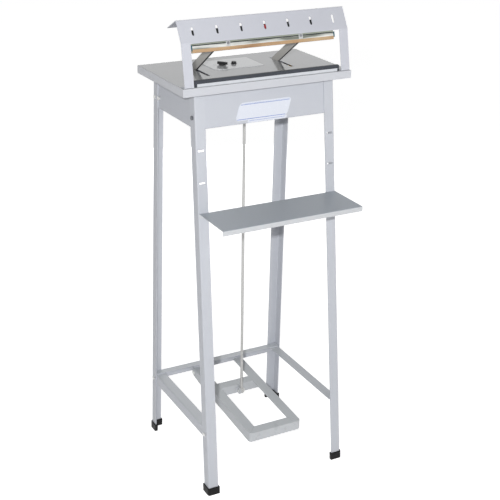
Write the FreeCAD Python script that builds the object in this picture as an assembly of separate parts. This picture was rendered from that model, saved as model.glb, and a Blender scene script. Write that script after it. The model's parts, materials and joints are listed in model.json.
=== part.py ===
import FreeCAD, Part
import os
from math import cos, pi, radians, sin, tan

V = FreeCAD.Vector
X, Y, Z = V(1, 0, 0), V(0, 1, 0), V(0, 0, 1)
LEFT, RIGHT = -1, 1
FRONT, REAR = -1, 1

# Driving dimensions, in millimetres and degrees.
# Everything is laid out from the floor, under the middle of the table: +X right, +Y back, +Z up.

# The jaw's length, the table's height and the table's depth set the machine's size.
seal_length = 400.0
work_height = 1131.5
table_depth = 291.0

# Table and cabinet
table_overhang = 5.0
table_lip = 21.0
sheet = 1.5
bend = 1.0
cabinet_height = 111.0
cabinet_flange = 12.0

# Legs, braces and feet, all cut from one folded angle
angle_flange = 28.5
angle_wall = 2.5
angle_bend = 1.0
leg_side_inset = 40.0
leg_side_splay = 12.5
front_leg_inset = 26.5
front_leg_splay = 100.5
rear_leg_inset = 14.0
rear_leg_splay = 53.5
foot_cap_height = 21.0
foot_cap_wall = 3.2
foot_sole = 3.0
crossbar_top = 196.5
crossbar_flange = 24.0
brace_end_gap = 1.0

# Shelf that hooks into slots in the front legs
shelf_slot_height = 800.0
shelf_slot_pitch = 83.0
shelf_slot_count = 3
shelf_slot_length = 16.5
shelf_slot_width = 4.8
shelf_depth = 138.0
shelf_lip = 13.0
shelf_rise = 6.0
shelf_side_reach = 2.0
shelf_hook_wall = 2.5
shelf_hook_drop = 6.0
shelf_hook_play = 2.0

# Guard over the jaw
guard_post_width = 25.0
guard_end_gap = 4.5
guard_front_inset = 1.0
guard_post_height = 105.5
guard_post_lean = 18.5
guard_face_height = 50.0
guard_face_lean = 29.0
guard_flap_depth = 49.5
guard_flap_drop = 25.5
guard_foot = 20.0
guard_slot_pitch = 66.0
guard_slot_count = 7
guard_slot_length = 22.0
guard_slot_width = 6.0
guard_slot_drop = 29.5

# Anvil: a bar along the table's front edge with a rubber strip on it
anvil_inset = 11.5
anvil_bar_width = 13.0
anvil_bar_height = 7.5
anvil_bar_edge = 0.8
rubber_width = 11.0
rubber_height = 8.0
rubber_end_wall = 5.5
rubber_round = 1.5

# Jaw, drawn closed on the rubber and then swung open
jaw_opening = 16.0
jaw_closed_gap = 0.4
jaw_width = 12.0
jaw_bar_height = 16.0
jaw_bar_edge = 0.6
jaw_groove_depth = 3.0
jaw_groove_height = 2.5
jaw_rail_height = 8.0
stiffener_low = 10.0
stiffener_high = 55.0
stiffener_lip = 7.0
stiffener_wall = 2.0
jaw_screw_height = 33.0
tape_wall = 0.3
tape_cover = 8.0
tape_fold = 0.6
ribbon_wall = 0.25
ribbon_width = 8.0
ribbon_rise = 19.0
terminal_wall = 3.6
terminal_height = 14.0
lead_block_length = 24.0
lead_block_width = 7.0
lead_block_height = 10.0

# Rocker: shaft, two jaw arms and the lever that the pull rod draws down
pivot_inset = 49.5
pivot_drop = 31.5
shaft_diameter = 16.0
arm_spacing = 244.0
arm_width = 21.0
arm_wall = 6.0
arm_closed_angle = 18.0
hub_diameter = 30.0
hub_length = 16.0
hub_collar_diameter = 26.0
arm_slot_width = 10.0
arm_slot_length = 124.0
arm_slot_gap = 17.0
lever_reach = 86.0
lever_wall = 6.0
lever_width = 20.0
lever_gap = 1.5
lever_hub_diameter = 32.0
pin_diameter = 8.0
pin_head_diameter = 12.8
pin_head_height = 3.0
pin_end_reach = 3.0
bush_wall = 2.0
bush_length = 10.0
bracket_wall = 3.0
bracket_width = 60.0
bracket_drop = 92.0
bracket_flange = 18.0
cabinet_bolt_drop = 83.5
bracket_bolt_reach = 5.0

# Pull rod and its return spring
rod_diameter = 8.0
rod_side = 8.5
rod_lean = 7.0
rod_eye_diameter = 18.0
rod_eye_wall = 9.0
rod_top_play = 1.0
spring_wire = 2.0
spring_mean_diameter = 17.0
spring_length = 58.0
spring_turns = 6
spring_steps = 12
collar_diameter = 23.0
collar_wall = 2.0
collar_nut_width = 13.0
collar_nut_height = 6.5
bridge_wall = 2.0
bridge_width = 45.0
bridge_hole = 14.0

# Pedal
pedal_width = 163.0
pedal_reach = 366.5
pedal_hinge_reach = 14.1
pedal_hinge_height = 167.0
pedal_hinge_drop = 13.0
pedal_droop = 4.0
pedal_corner = 9.0
pedal_heel = 5.0
pedal_taper = 45.0
rod_pin_height = 155.0
hinge_lug_wall = 4.0
hinge_lug_round = 9.0
hinge_side_gap = 0.5
rod_lug_wall = 4.0
rod_lug_reach = 11.0
rod_lug_corner = 7.0

# Controls on the table
plate_left = -82.0
plate_right = 60.0
plate_back = 105.0
plate_wall = 1.0
plate_big_corner = 20.0
plate_corner = 4.0
timer_can_diameter = 24.0
timer_can_depth = 14.0
bushing_diameter = 9.0
bushing_height = 1.0
spindle_height = 5.0
knob_x = -41.0
knob_back = 43.0
knob_turn = -50.0
knob_skirt_diameter = 20.0
knob_skirt_height = 3.0
knob_bar_length = 29.0
knob_bar_width = 9.0
knob_height = 8.0
knob_gap = 0.5
spindle_diameter = 6.0
fuse_x = -5.0
fuse_back = 48.0
fuse_diameter = 12.0
fuse_depth = 26.0
fuse_wall = 1.5
fuse_flange_diameter = 16.0
fuse_flange_height = 1.5
fuse_stem_length = 16.0
fuse_cap_diameter = 13.0
fuse_cap_height = 4.5
coin_slot_width = 1.6
coin_slot_depth = 1.5

# Electrical parts inside the cabinet
tray_left = -120.0
tray_right = -20.0
tray_edge = 6.0
core_x = -70.0
core_back = -48.0
core_unit = 11.0
core_stack = 28.0
coil_bulge = 11.0
coil_corner = 5.0
coil_play = 0.3
clamp_foot = 12.0
clamp_screw_reach = 7.5
board_x = -75.0
board_back = 45.0
board_size = 60.0
board_wall = 1.6
standoff_height = 8.0
standoff_width = 6.0
standoff_inset = 5.0
relay_size = V(16, 20, 15)
relay_place = V(14, 8, 0)
capacitor_diameter = 11.0
capacitor_height = 18.0
capacitor_place = V(-14, 10, 0)
strip_size = V(36, 8, 10)
strip_place = V(0, -23, 0)
gland_inset = 50.0
gland_drop = 71.5
gland_bore = 8.0
gland_thread = 16.0
gland_nut_width = 20.0
gland_hexagon_height = 6.0
gland_dome_side = 6.0
gland_dome_height = 5.0
gland_dome_base = 18.0
gland_dome_mouth = 13.0
gland_lock_nut_height = 4.0
gland_stem_inside = 8.0
switch_length = 28.0
switch_width = 10.3
switch_height = 16.0
switch_drop = 24.0
switch_reach = 58.0
switch_lever_reach = 20.0
switch_lever_rise = 6.0
switch_roller_diameter = 5.0
switch_axle_diameter = 2.0
switch_barrel_diameter = 3.2
switch_axle_rise = 2.0
switch_ear_reach = 3.0
switch_ear_wall = 1.5
switch_blade_size = V(3, 0.8, 6)
switch_lever_wall = 0.8
post_wall = 2.0

# Fasteners
bolt_diameter = 6.0
bolt_head_width = 10.0
bolt_head_height = 4.0
screw_diameter = 4.0
screw_head_diameter = 8.0
screw_head_height = 2.4
chamfer = 1.0
hole_play = 0.2
running_play = 0.05
seat_gap = 0.2

# Places worked out from the driving dimensions
guard_half_width = seal_length / 2 + rubber_end_wall + guard_end_gap + guard_post_width
table_width = 2 * (guard_half_width + table_overhang)
leg_top_half_width = table_width / 2 - leg_side_inset
leg_foot_half_width = leg_top_half_width + leg_side_splay
front_leg_top_reach = table_depth / 2 - front_leg_inset
front_leg_foot_reach = front_leg_top_reach + front_leg_splay
rear_leg_top_reach = table_depth / 2 - rear_leg_inset
rear_leg_foot_reach = rear_leg_top_reach + rear_leg_splay
shelf_half_width = leg_top_half_width + shelf_side_reach
guard_front = table_depth / 2 - guard_front_inset
anvil_centre = table_depth / 2 - anvil_inset
pivot_back = table_depth / 2 - pivot_inset
pivot_height = work_height - pivot_drop
arm_slot_back = pivot_back - arm_slot_gap
rod_top_back = pivot_back - lever_reach
rod_foot_back = rod_top_back + rod_lean
gland_x = leg_top_half_width - gland_inset
cabinet_bolt_height = work_height - cabinet_bolt_drop
bracket_bolt_back = pivot_back + bracket_bolt_reach
gland_height = work_height - gland_drop
switch_top = pivot_height - switch_drop
switch_front = pivot_back - switch_reach
table_under = work_height - sheet
cabinet_bottom = table_under - cabinet_height
leg_bend_radius = angle_wall + angle_bend
anvil_top = work_height + anvil_bar_height
rubber_top = anvil_top + rubber_height
seal_plane = rubber_top + jaw_closed_gap
jaw_bar_bottom = seal_plane + tape_wall + ribbon_wall
stiffener_rear = -anvil_centre + jaw_width / 2 + stiffener_wall
stiffener_top = seal_plane + stiffener_high
brace_top = crossbar_top - angle_wall
brace_middle = brace_top - angle_flange / 2
lever_side = rod_side + rod_eye_wall / 2 + lever_gap
lever_half_swing = jaw_opening / 2
lever_drop = lever_reach * tan(radians(lever_half_swing))
bridge_top = cabinet_bottom + sheet + bridge_wall
tray_top = cabinet_bottom + sheet + sheet
pivot = V(0, pivot_back, pivot_height)
bore_diameter = shaft_diameter + 2 * running_play
pin_bore_diameter = pin_diameter + 2 * running_play
side_bolt_heights = (brace_middle, cabinet_bolt_height)
pedal_top = pedal_hinge_height + pedal_hinge_drop
control_top = work_height + plate_wall
core_width = 6 * core_unit
core_height = 5 * core_unit


def leg_x(z):
    """Half the distance between the outer corners of the legs at height z."""
    return leg_foot_half_width + (leg_top_half_width - leg_foot_half_width) * z / work_height


def leg_y(end, z):
    """Y of the outer corner of a front or rear leg at height z."""
    foot = front_leg_foot_reach if end == FRONT else rear_leg_foot_reach
    top = front_leg_top_reach if end == FRONT else rear_leg_top_reach
    return end * (foot + (top - foot) * z / work_height)


pedal_hinge_back = leg_y(REAR, pedal_hinge_height) - 2 * angle_wall - pedal_hinge_reach
pedal_hinge = V(0, pedal_hinge_back, pedal_hinge_height)
crosspiece_reach = pedal_hinge_back - rod_foot_back - rod_lug_reach


# Shaping helpers

def rounded_outline(corners):
    """Closed outline through (point, radius) corners."""
    rounded = []
    count = len(corners)
    for i, (point, radius) in enumerate(corners):
        back = (corners[i - 1][0] - point).normalize()
        ahead = (corners[(i + 1) % count][0] - point).normalize()
        if radius <= 0:
            rounded.append((point, None, point))
            continue
        half = back.getAngle(ahead) / 2
        reach = radius / tan(half)
        inward = (back + ahead).normalize()
        middle = point + inward * (radius / sin(half) - radius)
        rounded.append((point + back * reach, middle, point + ahead * reach))
    edges = []
    for i, (start, middle, end) in enumerate(rounded):
        if middle is not None:
            edges.append(Part.Arc(start, middle, end).toShape())
        following = rounded[(i + 1) % count][0]
        if end.distanceToPoint(following) > 1e-6:
            edges.append(Part.LineSegment(end, following).toShape())
    return Part.Wire(edges)


def prism(corners, run):
    """Solid swept straight from an outline of (point, radius) corners."""
    return Part.Face(rounded_outline(corners)).extrude(run)


def side_outline(x, points):
    """Corners in the plane across X, from (y, z, radius) triples."""
    return [(V(x, y, z), radius) for y, z, radius in points]


def front_outline(y, points):
    """Corners in the plane across Y, from (x, z, radius) triples."""
    return [(V(x, y, z), radius) for x, z, radius in points]


def plan_outline(z, points):
    """Corners in the plane across Z, from (x, y, radius) triples."""
    return [(V(x, y, z), radius) for x, y, radius in points]


def bent_sheet(points, wall, inner_radius, run):
    """Sheet folded along a row of points, as wide as run and with its thickness left of the row."""
    axis = V(run).normalize()
    ways = [(b - a).normalize() for a, b in zip(points, points[1:])]
    sides = [axis.cross(way) for way in ways]
    near = [(points[0], 0)]
    far = [(points[0] + sides[0] * wall, 0)]
    for i in range(1, len(points) - 1):
        lean = sides[i - 1] + sides[i]
        offset = lean * (wall / (1 + sides[i - 1].dot(sides[i])))
        turns_left = ways[i - 1].cross(ways[i]).dot(axis) > 0
        near.append((points[i], inner_radius + wall if turns_left else inner_radius))
        far.append((points[i] + offset, inner_radius if turns_left else inner_radius + wall))
    near.append((points[-1], 0))
    far.append((points[-1] + sides[-1] * wall, 0))
    return prism(near + far[::-1], run)


def slot_tool(centre, along, across, length, width, depth):
    """Round-ended cutter, long in one direction and as deep as depth."""
    through = along.cross(across)
    start = centre - through * (depth / 2)
    corners = []
    for u, v in ((-1, -1), (1, -1), (1, 1), (-1, 1)):
        corners.append((start + along * (u * length / 2) + across * (v * width / 2), width / 2))
    return prism(corners, through * depth)


def rod_between(start, direction, length, diameter):
    """Plain round bar."""
    return Part.makeCylinder(diameter / 2, length, start, direction)


def centred_box(size, centre):
    """Box of the given size about its centre."""
    return Part.makeBox(size.x, size.y, size.z, centre - size * 0.5)


def hexagon(across_flats, height, base):
    """Upright hexagonal prism."""
    corner = across_flats / 2 / cos(pi / 6)
    points = []
    for i in range(6):
        points.append((base.x + corner * cos(i * pi / 3), base.y + corner * sin(i * pi / 3), 0))
    return prism(plan_outline(base.z, points), Z * height)


def point_along(shape, place, direction):
    """Turn an upright fastener so that its shank runs along direction from place."""
    turned = shape.copy()
    turned.Placement = FreeCAD.Placement(place, FreeCAD.Rotation(Z, direction))
    return turned


def bolt_and_nut(place, direction, grip):
    """Hexagon bolt with its head seated at place and its nut drawn up behind the grip."""
    head = hexagon(bolt_head_width, bolt_head_height, V(0, 0, -bolt_head_height))
    shank = rod_between(V(0, 0, -1), Z, grip + 2, bolt_diameter)
    nut = hexagon(bolt_head_width, bolt_head_height, V(0, 0, grip))
    return point_along(head.fuse([shank, nut]).removeSplitter(), place, direction)


def pan_screw(place, direction, length):
    """Screw with a low round head seated at place."""
    head = rod_between(V(0, 0, -screw_head_height), Z, screw_head_height, screw_head_diameter)
    shank = rod_between(V(0, 0, -1), Z, length + 1, screw_diameter)
    return point_along(head.fuse(shank).removeSplitter(), place, direction)


def bolt_hole(place, direction, reach):
    """Cutter for a bolt, reaching both ways from place."""
    return rod_between(place - direction * reach, direction, 2 * reach, bolt_diameter + 2 * hole_play)


def screw_hole(place, reach):
    """Upright cutter for a screw, reaching both ways from place."""
    return rod_between(place - Z * reach, Z, 2 * reach, screw_diameter + 2 * hole_play)


def swing_open(shape):
    """Turn a rocker piece from the closed pose to the open rest pose."""
    turned = shape.copy()
    turned.rotate(pivot, X, -jaw_opening)
    return turned


def lean_pedal(shape):
    """Turn a pedal piece from level to its rest pose."""
    turned = shape.copy()
    turned.rotate(pedal_hinge, X, pedal_droop)
    return turned


# Frame: legs, feet, braces

def angle_prism(side, end, bottom, top, grow):
    """Leaning angle between two heights, made larger all round by grow."""
    corner = V(side * (leg_x(bottom) + grow), leg_y(end, bottom) + end * grow, bottom)
    wall = angle_wall + 2 * grow
    flange = angle_flange + 2 * grow
    outer = leg_bend_radius + grow
    inner = max(angle_bend - grow, 0)
    marks = [(0, 0, outer), (flange, 0, 0), (flange, wall, 0),
             (wall, wall, inner), (wall, flange, 0), (0, flange, 0)]
    points = [(corner.x - side * u, corner.y - end * v, radius) for u, v, radius in marks]
    run = V(side * (leg_x(top) - leg_x(bottom)), leg_y(end, top) - leg_y(end, bottom), top - bottom)
    return prism(plan_outline(bottom, points), run)


def flange_middle(side, end, z):
    """Middle of the outer face of a leg's side flange."""
    return V(side * leg_x(z), leg_y(end, z) - end * angle_flange / 2, z)


def rear_flange_middle(side, z):
    """Middle of the inner face of a rear leg's rear flange."""
    return V(side * (leg_x(z) - angle_flange / 2), leg_y(REAR, z) - angle_wall, z)


def leg(side, end):
    solid = angle_prism(side, end, foot_sole, table_under, 0)
    for z in side_bolt_heights:
        solid = solid.cut(bolt_hole(flange_middle(side, end, z), X, 3 * angle_wall))
    if end == REAR:
        return solid.cut(bolt_hole(rear_flange_middle(side, brace_middle), Y, 3 * angle_wall))
    for i in range(shelf_slot_count):
        z = shelf_slot_height + i * shelf_slot_pitch
        centre = V(side * (leg_x(z) - angle_flange / 2), leg_y(end, z), z)
        solid = solid.cut(centred_box(V(shelf_slot_length, 4 * angle_wall, shelf_slot_width), centre))
    return solid


def foot_cap(side, end):
    cap = angle_prism(side, end, 0, foot_cap_height, foot_cap_wall)
    return cap.cut(angle_prism(side, end, foot_sole, foot_cap_height + foot_sole, 0))


def brace_outer(z):
    """X of a brace's outer face, flat against the inside of the legs' side flanges."""
    return leg_x(z) - angle_wall


def brace(side):
    bottom = brace_top - angle_flange
    front = leg_y(FRONT, brace_top) + angle_wall + brace_end_gap
    back = leg_y(REAR, brace_top) - 2 * angle_wall - brace_end_gap
    points = [V(side * brace_outer(bottom), 0, bottom), V(side * brace_outer(brace_top), 0, brace_top),
              V(side * (brace_outer(brace_top) - angle_flange), 0, brace_top)]
    start = front if side == LEFT else back
    for point in points:
        point.y = start
    run = Y * (back - front) if side == LEFT else Y * (front - back)
    solid = bent_sheet(points, angle_wall, angle_bend, run)
    for end in (FRONT, REAR):
        solid = solid.cut(bolt_hole(flange_middle(side, end, brace_middle), X, 4 * angle_wall))
    return solid


def rear_crossbar():
    bottom = crossbar_top - angle_flange
    half = brace_outer(crossbar_top) - angle_bend - seat_gap
    points = [V(-half, leg_y(REAR, bottom) - angle_wall, bottom),
              V(-half, leg_y(REAR, crossbar_top) - angle_wall, crossbar_top),
              V(-half, leg_y(REAR, crossbar_top) - angle_wall - crossbar_flange, crossbar_top)]
    solid = bent_sheet(points, angle_wall, angle_bend, X * (2 * half))
    for side in (LEFT, RIGHT):
        solid = solid.cut(bolt_hole(rear_flange_middle(side, brace_middle), Y, 4 * angle_wall))
    return solid


# Cabinet and table

def table_top():
    def pan(inset, radius):
        size = V(table_width - 2 * inset, table_depth - 2 * inset, table_lip - inset)
        block = Part.makeBox(size.x, size.y, size.z, V(-size.x / 2, -size.y / 2, work_height - table_lip))
        upper = [edge for edge in block.Edges if edge.BoundBox.ZMin > work_height - table_lip + 1]
        return block.makeFillet(radius, upper)

    solid = pan(0, bend + sheet).cut(pan(sheet, bend))
    slot_middle = arm_slot_back - arm_slot_length / 2
    for side in (LEFT, RIGHT):
        centre = V(side * arm_spacing / 2, slot_middle, work_height)
        solid = solid.cut(slot_tool(centre, Y, X, arm_slot_length, arm_slot_width, 4 * sheet))
    solid = solid.cut(control_holes())
    for place in guard_screw_places() + anvil_screw_places():
        solid = solid.cut(screw_hole(V(place.x, place.y, work_height), 3 * sheet))
    return solid


def control_holes():
    """Cutters for the timer's bushing and the fuse holder through the table and the plate on it."""
    low = table_under - sheet
    holes = []
    for x, back, diameter in ((knob_x, knob_back, bushing_diameter), (fuse_x, fuse_back, fuse_diameter)):
        holes.append(rod_between(V(x, back, low), Z, 4 * sheet, diameter + hole_play))
    return holes


def end_apron(end):
    """Front or rear wall of the cabinet, leaning with the legs, its bottom edge turned in."""
    half = leg_x(work_height) - angle_wall - sheet - seat_gap
    start = -half if end == FRONT else half

    def face_y(z):
        return leg_y(end, z) - end * angle_wall

    points = [V(start, face_y(table_under), table_under), V(start, face_y(cabinet_bottom), cabinet_bottom),
              V(start, face_y(cabinet_bottom) - end * cabinet_flange, cabinet_bottom)]
    solid = bent_sheet(points, sheet, bend, X * (-2 * start))
    for place in bridge_screw_places():
        solid = solid.cut(screw_hole(place, 3 * sheet))
    if end == REAR:
        start = V(gland_x, face_y(gland_height) - 4 * sheet, gland_height)
        solid = solid.cut(rod_between(start, Y, 8 * sheet, gland_thread + hole_play))
    return solid


def side_apron(side):
    """Side wall of the cabinet between the legs, its bottom edge turned in."""
    front = leg_y(FRONT, cabinet_bottom)
    back = leg_y(REAR, cabinet_bottom)
    start, run = (front, Y * (back - front)) if side == RIGHT else (back, Y * (front - back))
    points = [V(side * brace_outer(table_under), start, table_under),
              V(side * brace_outer(cabinet_bottom), start, cabinet_bottom),
              V(side * (brace_outer(cabinet_bottom) - cabinet_flange), start, cabinet_bottom)]
    solid = bent_sheet(points, sheet, bend, run)
    inset = angle_wall + angle_bend
    wall = [(leg_y(FRONT, cabinet_bottom) + inset, cabinet_bottom, 0),
            (leg_y(REAR, cabinet_bottom) - inset, cabinet_bottom, 0),
            (leg_y(REAR, table_under) - inset, table_under, 0),
            (leg_y(FRONT, table_under) + inset, table_under, 0)]
    solid = solid.common(prism(side_outline(-table_width, wall), X * (2 * table_width)))
    between_walls = 2 * (leg_x(work_height) - angle_wall - sheet)
    corner = V(between_walls, cabinet_flange + angle_wall + seat_gap, 2 * sheet + seat_gap)
    for end in (FRONT, REAR):
        middle = V(0, leg_y(end, cabinet_bottom) - end * corner.y / 2, cabinet_bottom + corner.z / 2)
        solid = solid.cut(centred_box(corner, middle))
        solid = solid.cut(bolt_hole(flange_middle(side, end, cabinet_bolt_height), X, 4 * angle_wall))
    return solid.cut(bolt_hole(bracket_bolt_place(side), X, 4 * angle_wall))


def bracket_bolt_place(side):
    """Outer face of a side wall where its shaft bracket is bolted."""
    return V(side * brace_outer(cabinet_bolt_height), bracket_bolt_back, cabinet_bolt_height)


# Shelf

def shelf():
    top = shelf_slot_height + shelf_rise
    rear = leg_y(FRONT, top) - seat_gap
    rear_low = leg_y(FRONT, top - shelf_lip) - seat_gap
    front = rear - shelf_depth
    points = [V(-shelf_half_width, front, top - shelf_lip), V(-shelf_half_width, front, top),
              V(-shelf_half_width, rear, top), V(-shelf_half_width, rear_low, top - shelf_lip)]
    solid = bent_sheet(points[::-1], sheet, bend, X * (2 * shelf_half_width))
    tongue_width = shelf_slot_length - shelf_hook_play
    for side in (LEFT, RIGHT):
        x = side * (leg_x(shelf_slot_height) - angle_flange / 2) - tongue_width / 2
        face = leg_y(FRONT, shelf_slot_height)
        low = shelf_slot_height - shelf_slot_width / 2 + seat_gap
        high = low + shelf_hook_wall
        drop = low - shelf_hook_drop
        start = face - sheet
        inside = face + angle_wall + seat_gap + 2 * sheet
        end = inside + 2 * sheet
        tongue = [(start, low, 0), (inside, low, 0), (inside, drop, 0),
                  (end, drop, 0), (end, high, bend), (start, high, 0)]
        solid = solid.fuse(prism(side_outline(x, tongue), X * tongue_width))
    return solid.removeSplitter()


# Guard and anvil

def guard_points(x):
    """Inner face of the guard from foot to flap."""
    base = V(x, -guard_front + sheet, work_height + sheet)
    shoulder = base + V(0, guard_post_lean, guard_post_height - sheet)
    ridge = shoulder + V(0, guard_face_lean, guard_face_height)
    tail = ridge + V(0, guard_flap_depth, -guard_flap_drop)
    return [base + Y * guard_foot, base, shoulder, ridge, tail]


def guard():
    points = guard_points(-guard_half_width)
    solid = bent_sheet(points, sheet, bend, X * (2 * guard_half_width))
    shoulder, ridge = points[2], points[3]
    between_posts = 2 * (guard_half_width - guard_post_width)
    opening = V(between_posts, 4 * guard_foot, shoulder.z - sheet - work_height + 1)
    solid = solid.cut(centred_box(opening, V(0, -guard_front + guard_foot, work_height - 1 + opening.z / 2)))
    slope = (shoulder - ridge).normalize()
    first = -(guard_slot_count - 1) / 2
    for i in range(guard_slot_count):
        x = (first + i) * guard_slot_pitch
        centre = V(x, ridge.y, ridge.z) + slope * guard_slot_drop
        solid = solid.cut(slot_tool(centre, slope, X, guard_slot_length, guard_slot_width, 8 * sheet))
    for place in guard_screw_places():
        solid = solid.cut(screw_hole(V(place.x, place.y, work_height), 3 * sheet))
    return solid


def guard_screw_places():
    x = guard_half_width - guard_post_width / 2
    y = -guard_front + guard_foot * 0.6
    return [V(side * x, y, work_height + sheet) for side in (LEFT, RIGHT)]


def anvil_screw_places():
    spacing = seal_length / 4
    return [V(i * spacing, -anvil_centre, table_under) for i in (-1.5, 1.5)]


def anvil_bar():
    half = anvil_bar_width / 2
    front, back = -anvil_centre - half, -anvil_centre + half
    points = [(front, work_height, 0), (back, work_height, 0),
              (back, anvil_top, anvil_bar_edge), (front, anvil_top, anvil_bar_edge)]
    solid = prism(side_outline(-seal_length / 2, points), X * seal_length)
    for place in anvil_screw_places():
        solid = solid.cut(screw_hole(place, sheet + anvil_bar_height * 0.7))
    return solid


def anvil_rubber():
    """Strip with its ends turned down over the ends of the bar."""
    half = rubber_width / 2
    reach = seal_length / 2 + rubber_end_wall

    def strip(x, length, bottom):
        front, back = -anvil_centre - half, -anvil_centre + half
        points = [(front, bottom, 0), (back, bottom, 0),
                  (back, rubber_top, rubber_round), (front, rubber_top, rubber_round)]
        return prism(side_outline(x, points), X * length)

    solid = strip(-reach, 2 * reach, anvil_top)
    for x in (-reach, seal_length / 2):
        solid = solid.fuse(strip(x, rubber_end_wall, work_height))
    return solid.removeSplitter()


def table_screws():
    length = 2 * sheet + screw_diameter
    screws = [pan_screw(place, Z * -1, length) for place in guard_screw_places()]
    return screws + [pan_screw(place, Z, sheet + anvil_bar_height * 0.6) for place in anvil_screw_places()]


# Jaw, drawn closed

def jaw_bar():
    """Aluminium section with a groove along its front and back."""
    front = -anvil_centre - jaw_width / 2
    back = -anvil_centre + jaw_width / 2
    groove = jaw_bar_bottom + jaw_bar_height
    rail = groove + jaw_groove_height
    top = rail + jaw_rail_height
    edge = jaw_bar_edge
    points = [(front, jaw_bar_bottom, bend), (back, jaw_bar_bottom, bend),
              (back, groove, edge), (back - jaw_groove_depth, groove, 0),
              (back - jaw_groove_depth, rail, 0), (back, rail, edge),
              (back, top, edge), (front, top, edge),
              (front, rail, edge), (front + jaw_groove_depth, rail, 0),
              (front + jaw_groove_depth, groove, 0), (front, groove, edge)]
    return swing_open(prism(side_outline(-seal_length / 2, points), X * seal_length))


def jaw_stiffener():
    """Steel strip behind the bar, with its top edge turned forwards."""
    start = -seal_length / 2
    points = [V(start, stiffener_rear, seal_plane + stiffener_low), V(start, stiffener_rear, stiffener_top),
              V(start, stiffener_rear - stiffener_lip, stiffener_top)]
    solid = bent_sheet(points, stiffener_wall, bend, X * seal_length)
    for place in jaw_screw_places():
        start = place - Y * stiffener_wall
        solid = solid.cut(rod_between(start, Y, 3 * stiffener_wall, screw_diameter + 2 * hole_play))
    return swing_open(solid)


def heating_ribbon():
    half = seal_length / 2 + ribbon_wall
    start = -anvil_centre - ribbon_width / 2
    low = seal_plane + tape_wall
    high = low + ribbon_rise
    points = [V(half, start, high), V(half, start, low), V(-half, start, low), V(-half, start, high)]
    return swing_open(bent_sheet(points, ribbon_wall, ribbon_wall, Y * ribbon_width))


def ptfe_tape():
    half = jaw_width / 2
    start = -seal_length / 2
    y = -anvil_centre
    inside = seal_plane + tape_wall
    points = [V(start, y - half, inside + tape_cover), V(start, y - half, inside),
              V(start, y + half, inside), V(start, y + half, inside + tape_cover)]
    return swing_open(bent_sheet(points[::-1], tape_wall, tape_fold, X * seal_length))


def ribbon_terminals():
    """Insulating blocks on the ends of the bar, which hold the ends of the ribbon."""
    low = seal_plane + tape_wall + ribbon_rise - terminal_height
    blocks = []
    for side in (LEFT, RIGHT):
        x = side * (seal_length / 2 + ribbon_wall)
        front, back = -anvil_centre - jaw_width / 2, -anvil_centre + jaw_width / 2
        points = [(front, low, bend), (back, low, bend),
                  (back, low + terminal_height, bend), (front, low + terminal_height, bend)]
        block = prism(side_outline(x, points), X * (side * terminal_wall))
        blocks.append(swing_open(block))
    return blocks


def lead_block():
    """Block in the bend of the stiffener where the two leads join."""
    size = V(lead_block_length, lead_block_width, lead_block_height)
    back = stiffener_rear - stiffener_wall
    top = stiffener_top - stiffener_wall
    block = centred_box(size, V(0, back - lead_block_width / 2, top - lead_block_height / 2))
    upper = [edge for edge in block.Edges if edge.BoundBox.ZMin > top - 1]
    return swing_open(block.makeChamfer(chamfer, upper))


def jaw_screw_places():
    """Front of the stiffener, at the two arms."""
    middle = V(0, stiffener_rear - stiffener_wall, seal_plane + jaw_screw_height)
    return [middle + X * (side * arm_spacing / 2) for side in (LEFT, RIGHT)]


def jaw_screws():
    length = stiffener_wall + seat_gap
    return [swing_open(pan_screw(place - Y * seat_gap, Y, length)) for place in jaw_screw_places()]


# Rocker, drawn closed

def round_lever(x, wall, width, hub, bore, tip, tip_round):
    """Flat lever with a round hub on the pivot, running to a tip point in the plane across X."""
    way = (tip - V(0, pivot.y, pivot.z)).normalize()
    across = X.cross(way)
    start = V(x, pivot.y, pivot.z)
    end = V(x, tip.y, tip.z)
    corners = [(start + across * (width / 2), 0), (start - across * (width / 2), 0),
               (end - across * (width / 2), tip_round), (end + across * (width / 2), tip_round)]
    solid = prism(corners, X * wall).fuse(rod_between(start, X, wall, hub)).removeSplitter()
    return solid.cut(rod_between(start - X, X, wall + 2, bore))


def jaw_arm(side):
    reach = (pivot_back - stiffener_rear) / cos(radians(arm_closed_angle)) + arm_width
    tip = pivot + V(0, -cos(radians(arm_closed_angle)), sin(radians(arm_closed_angle))) * reach
    x = side * arm_spacing / 2 - arm_wall / 2
    solid = round_lever(x, arm_wall, arm_width, hub_diameter, bore_diameter, tip, 0)
    ahead = V(4 * arm_wall, 4 * arm_width, 4 * arm_width)
    solid = solid.cut(centred_box(ahead, V(side * arm_spacing / 2, stiffener_rear - ahead.y / 2, tip.z)))
    hub_x = side * arm_spacing / 2 - hub_length / 2
    hub = rod_between(V(hub_x, pivot.y, pivot.z), X, hub_length, hub_collar_diameter)
    hub = hub.cut(rod_between(V(hub_x - 1, pivot.y, pivot.z), X, hub_length + 2, bore_diameter))
    return swing_open(solid.fuse(hub).removeSplitter())


def lever_tip():
    """Centre of the pin at the lever's end, in the closed pose."""
    return pivot + V(0, -(pivot_back - rod_top_back), -lever_drop)


def rod_lever():
    tip = lever_tip()
    way = (tip - pivot).normalize()
    half = lever_width / 2
    end = tip + way * half
    solid = round_lever(lever_side, lever_wall, lever_width, lever_hub_diameter, bore_diameter, end, half)
    hub = rod_between(V(lever_side, pivot.y, pivot.z), X, hub_length, hub_collar_diameter)
    hub = hub.cut(rod_between(V(lever_side - 1, pivot.y, pivot.z), X, hub_length + 2, bore_diameter))
    solid = solid.fuse(hub).removeSplitter()
    solid = solid.cut(rod_between(V(lever_side - 1, tip.y, tip.z), X, lever_wall + 2, pin_bore_diameter))
    return swing_open(solid)


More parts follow.
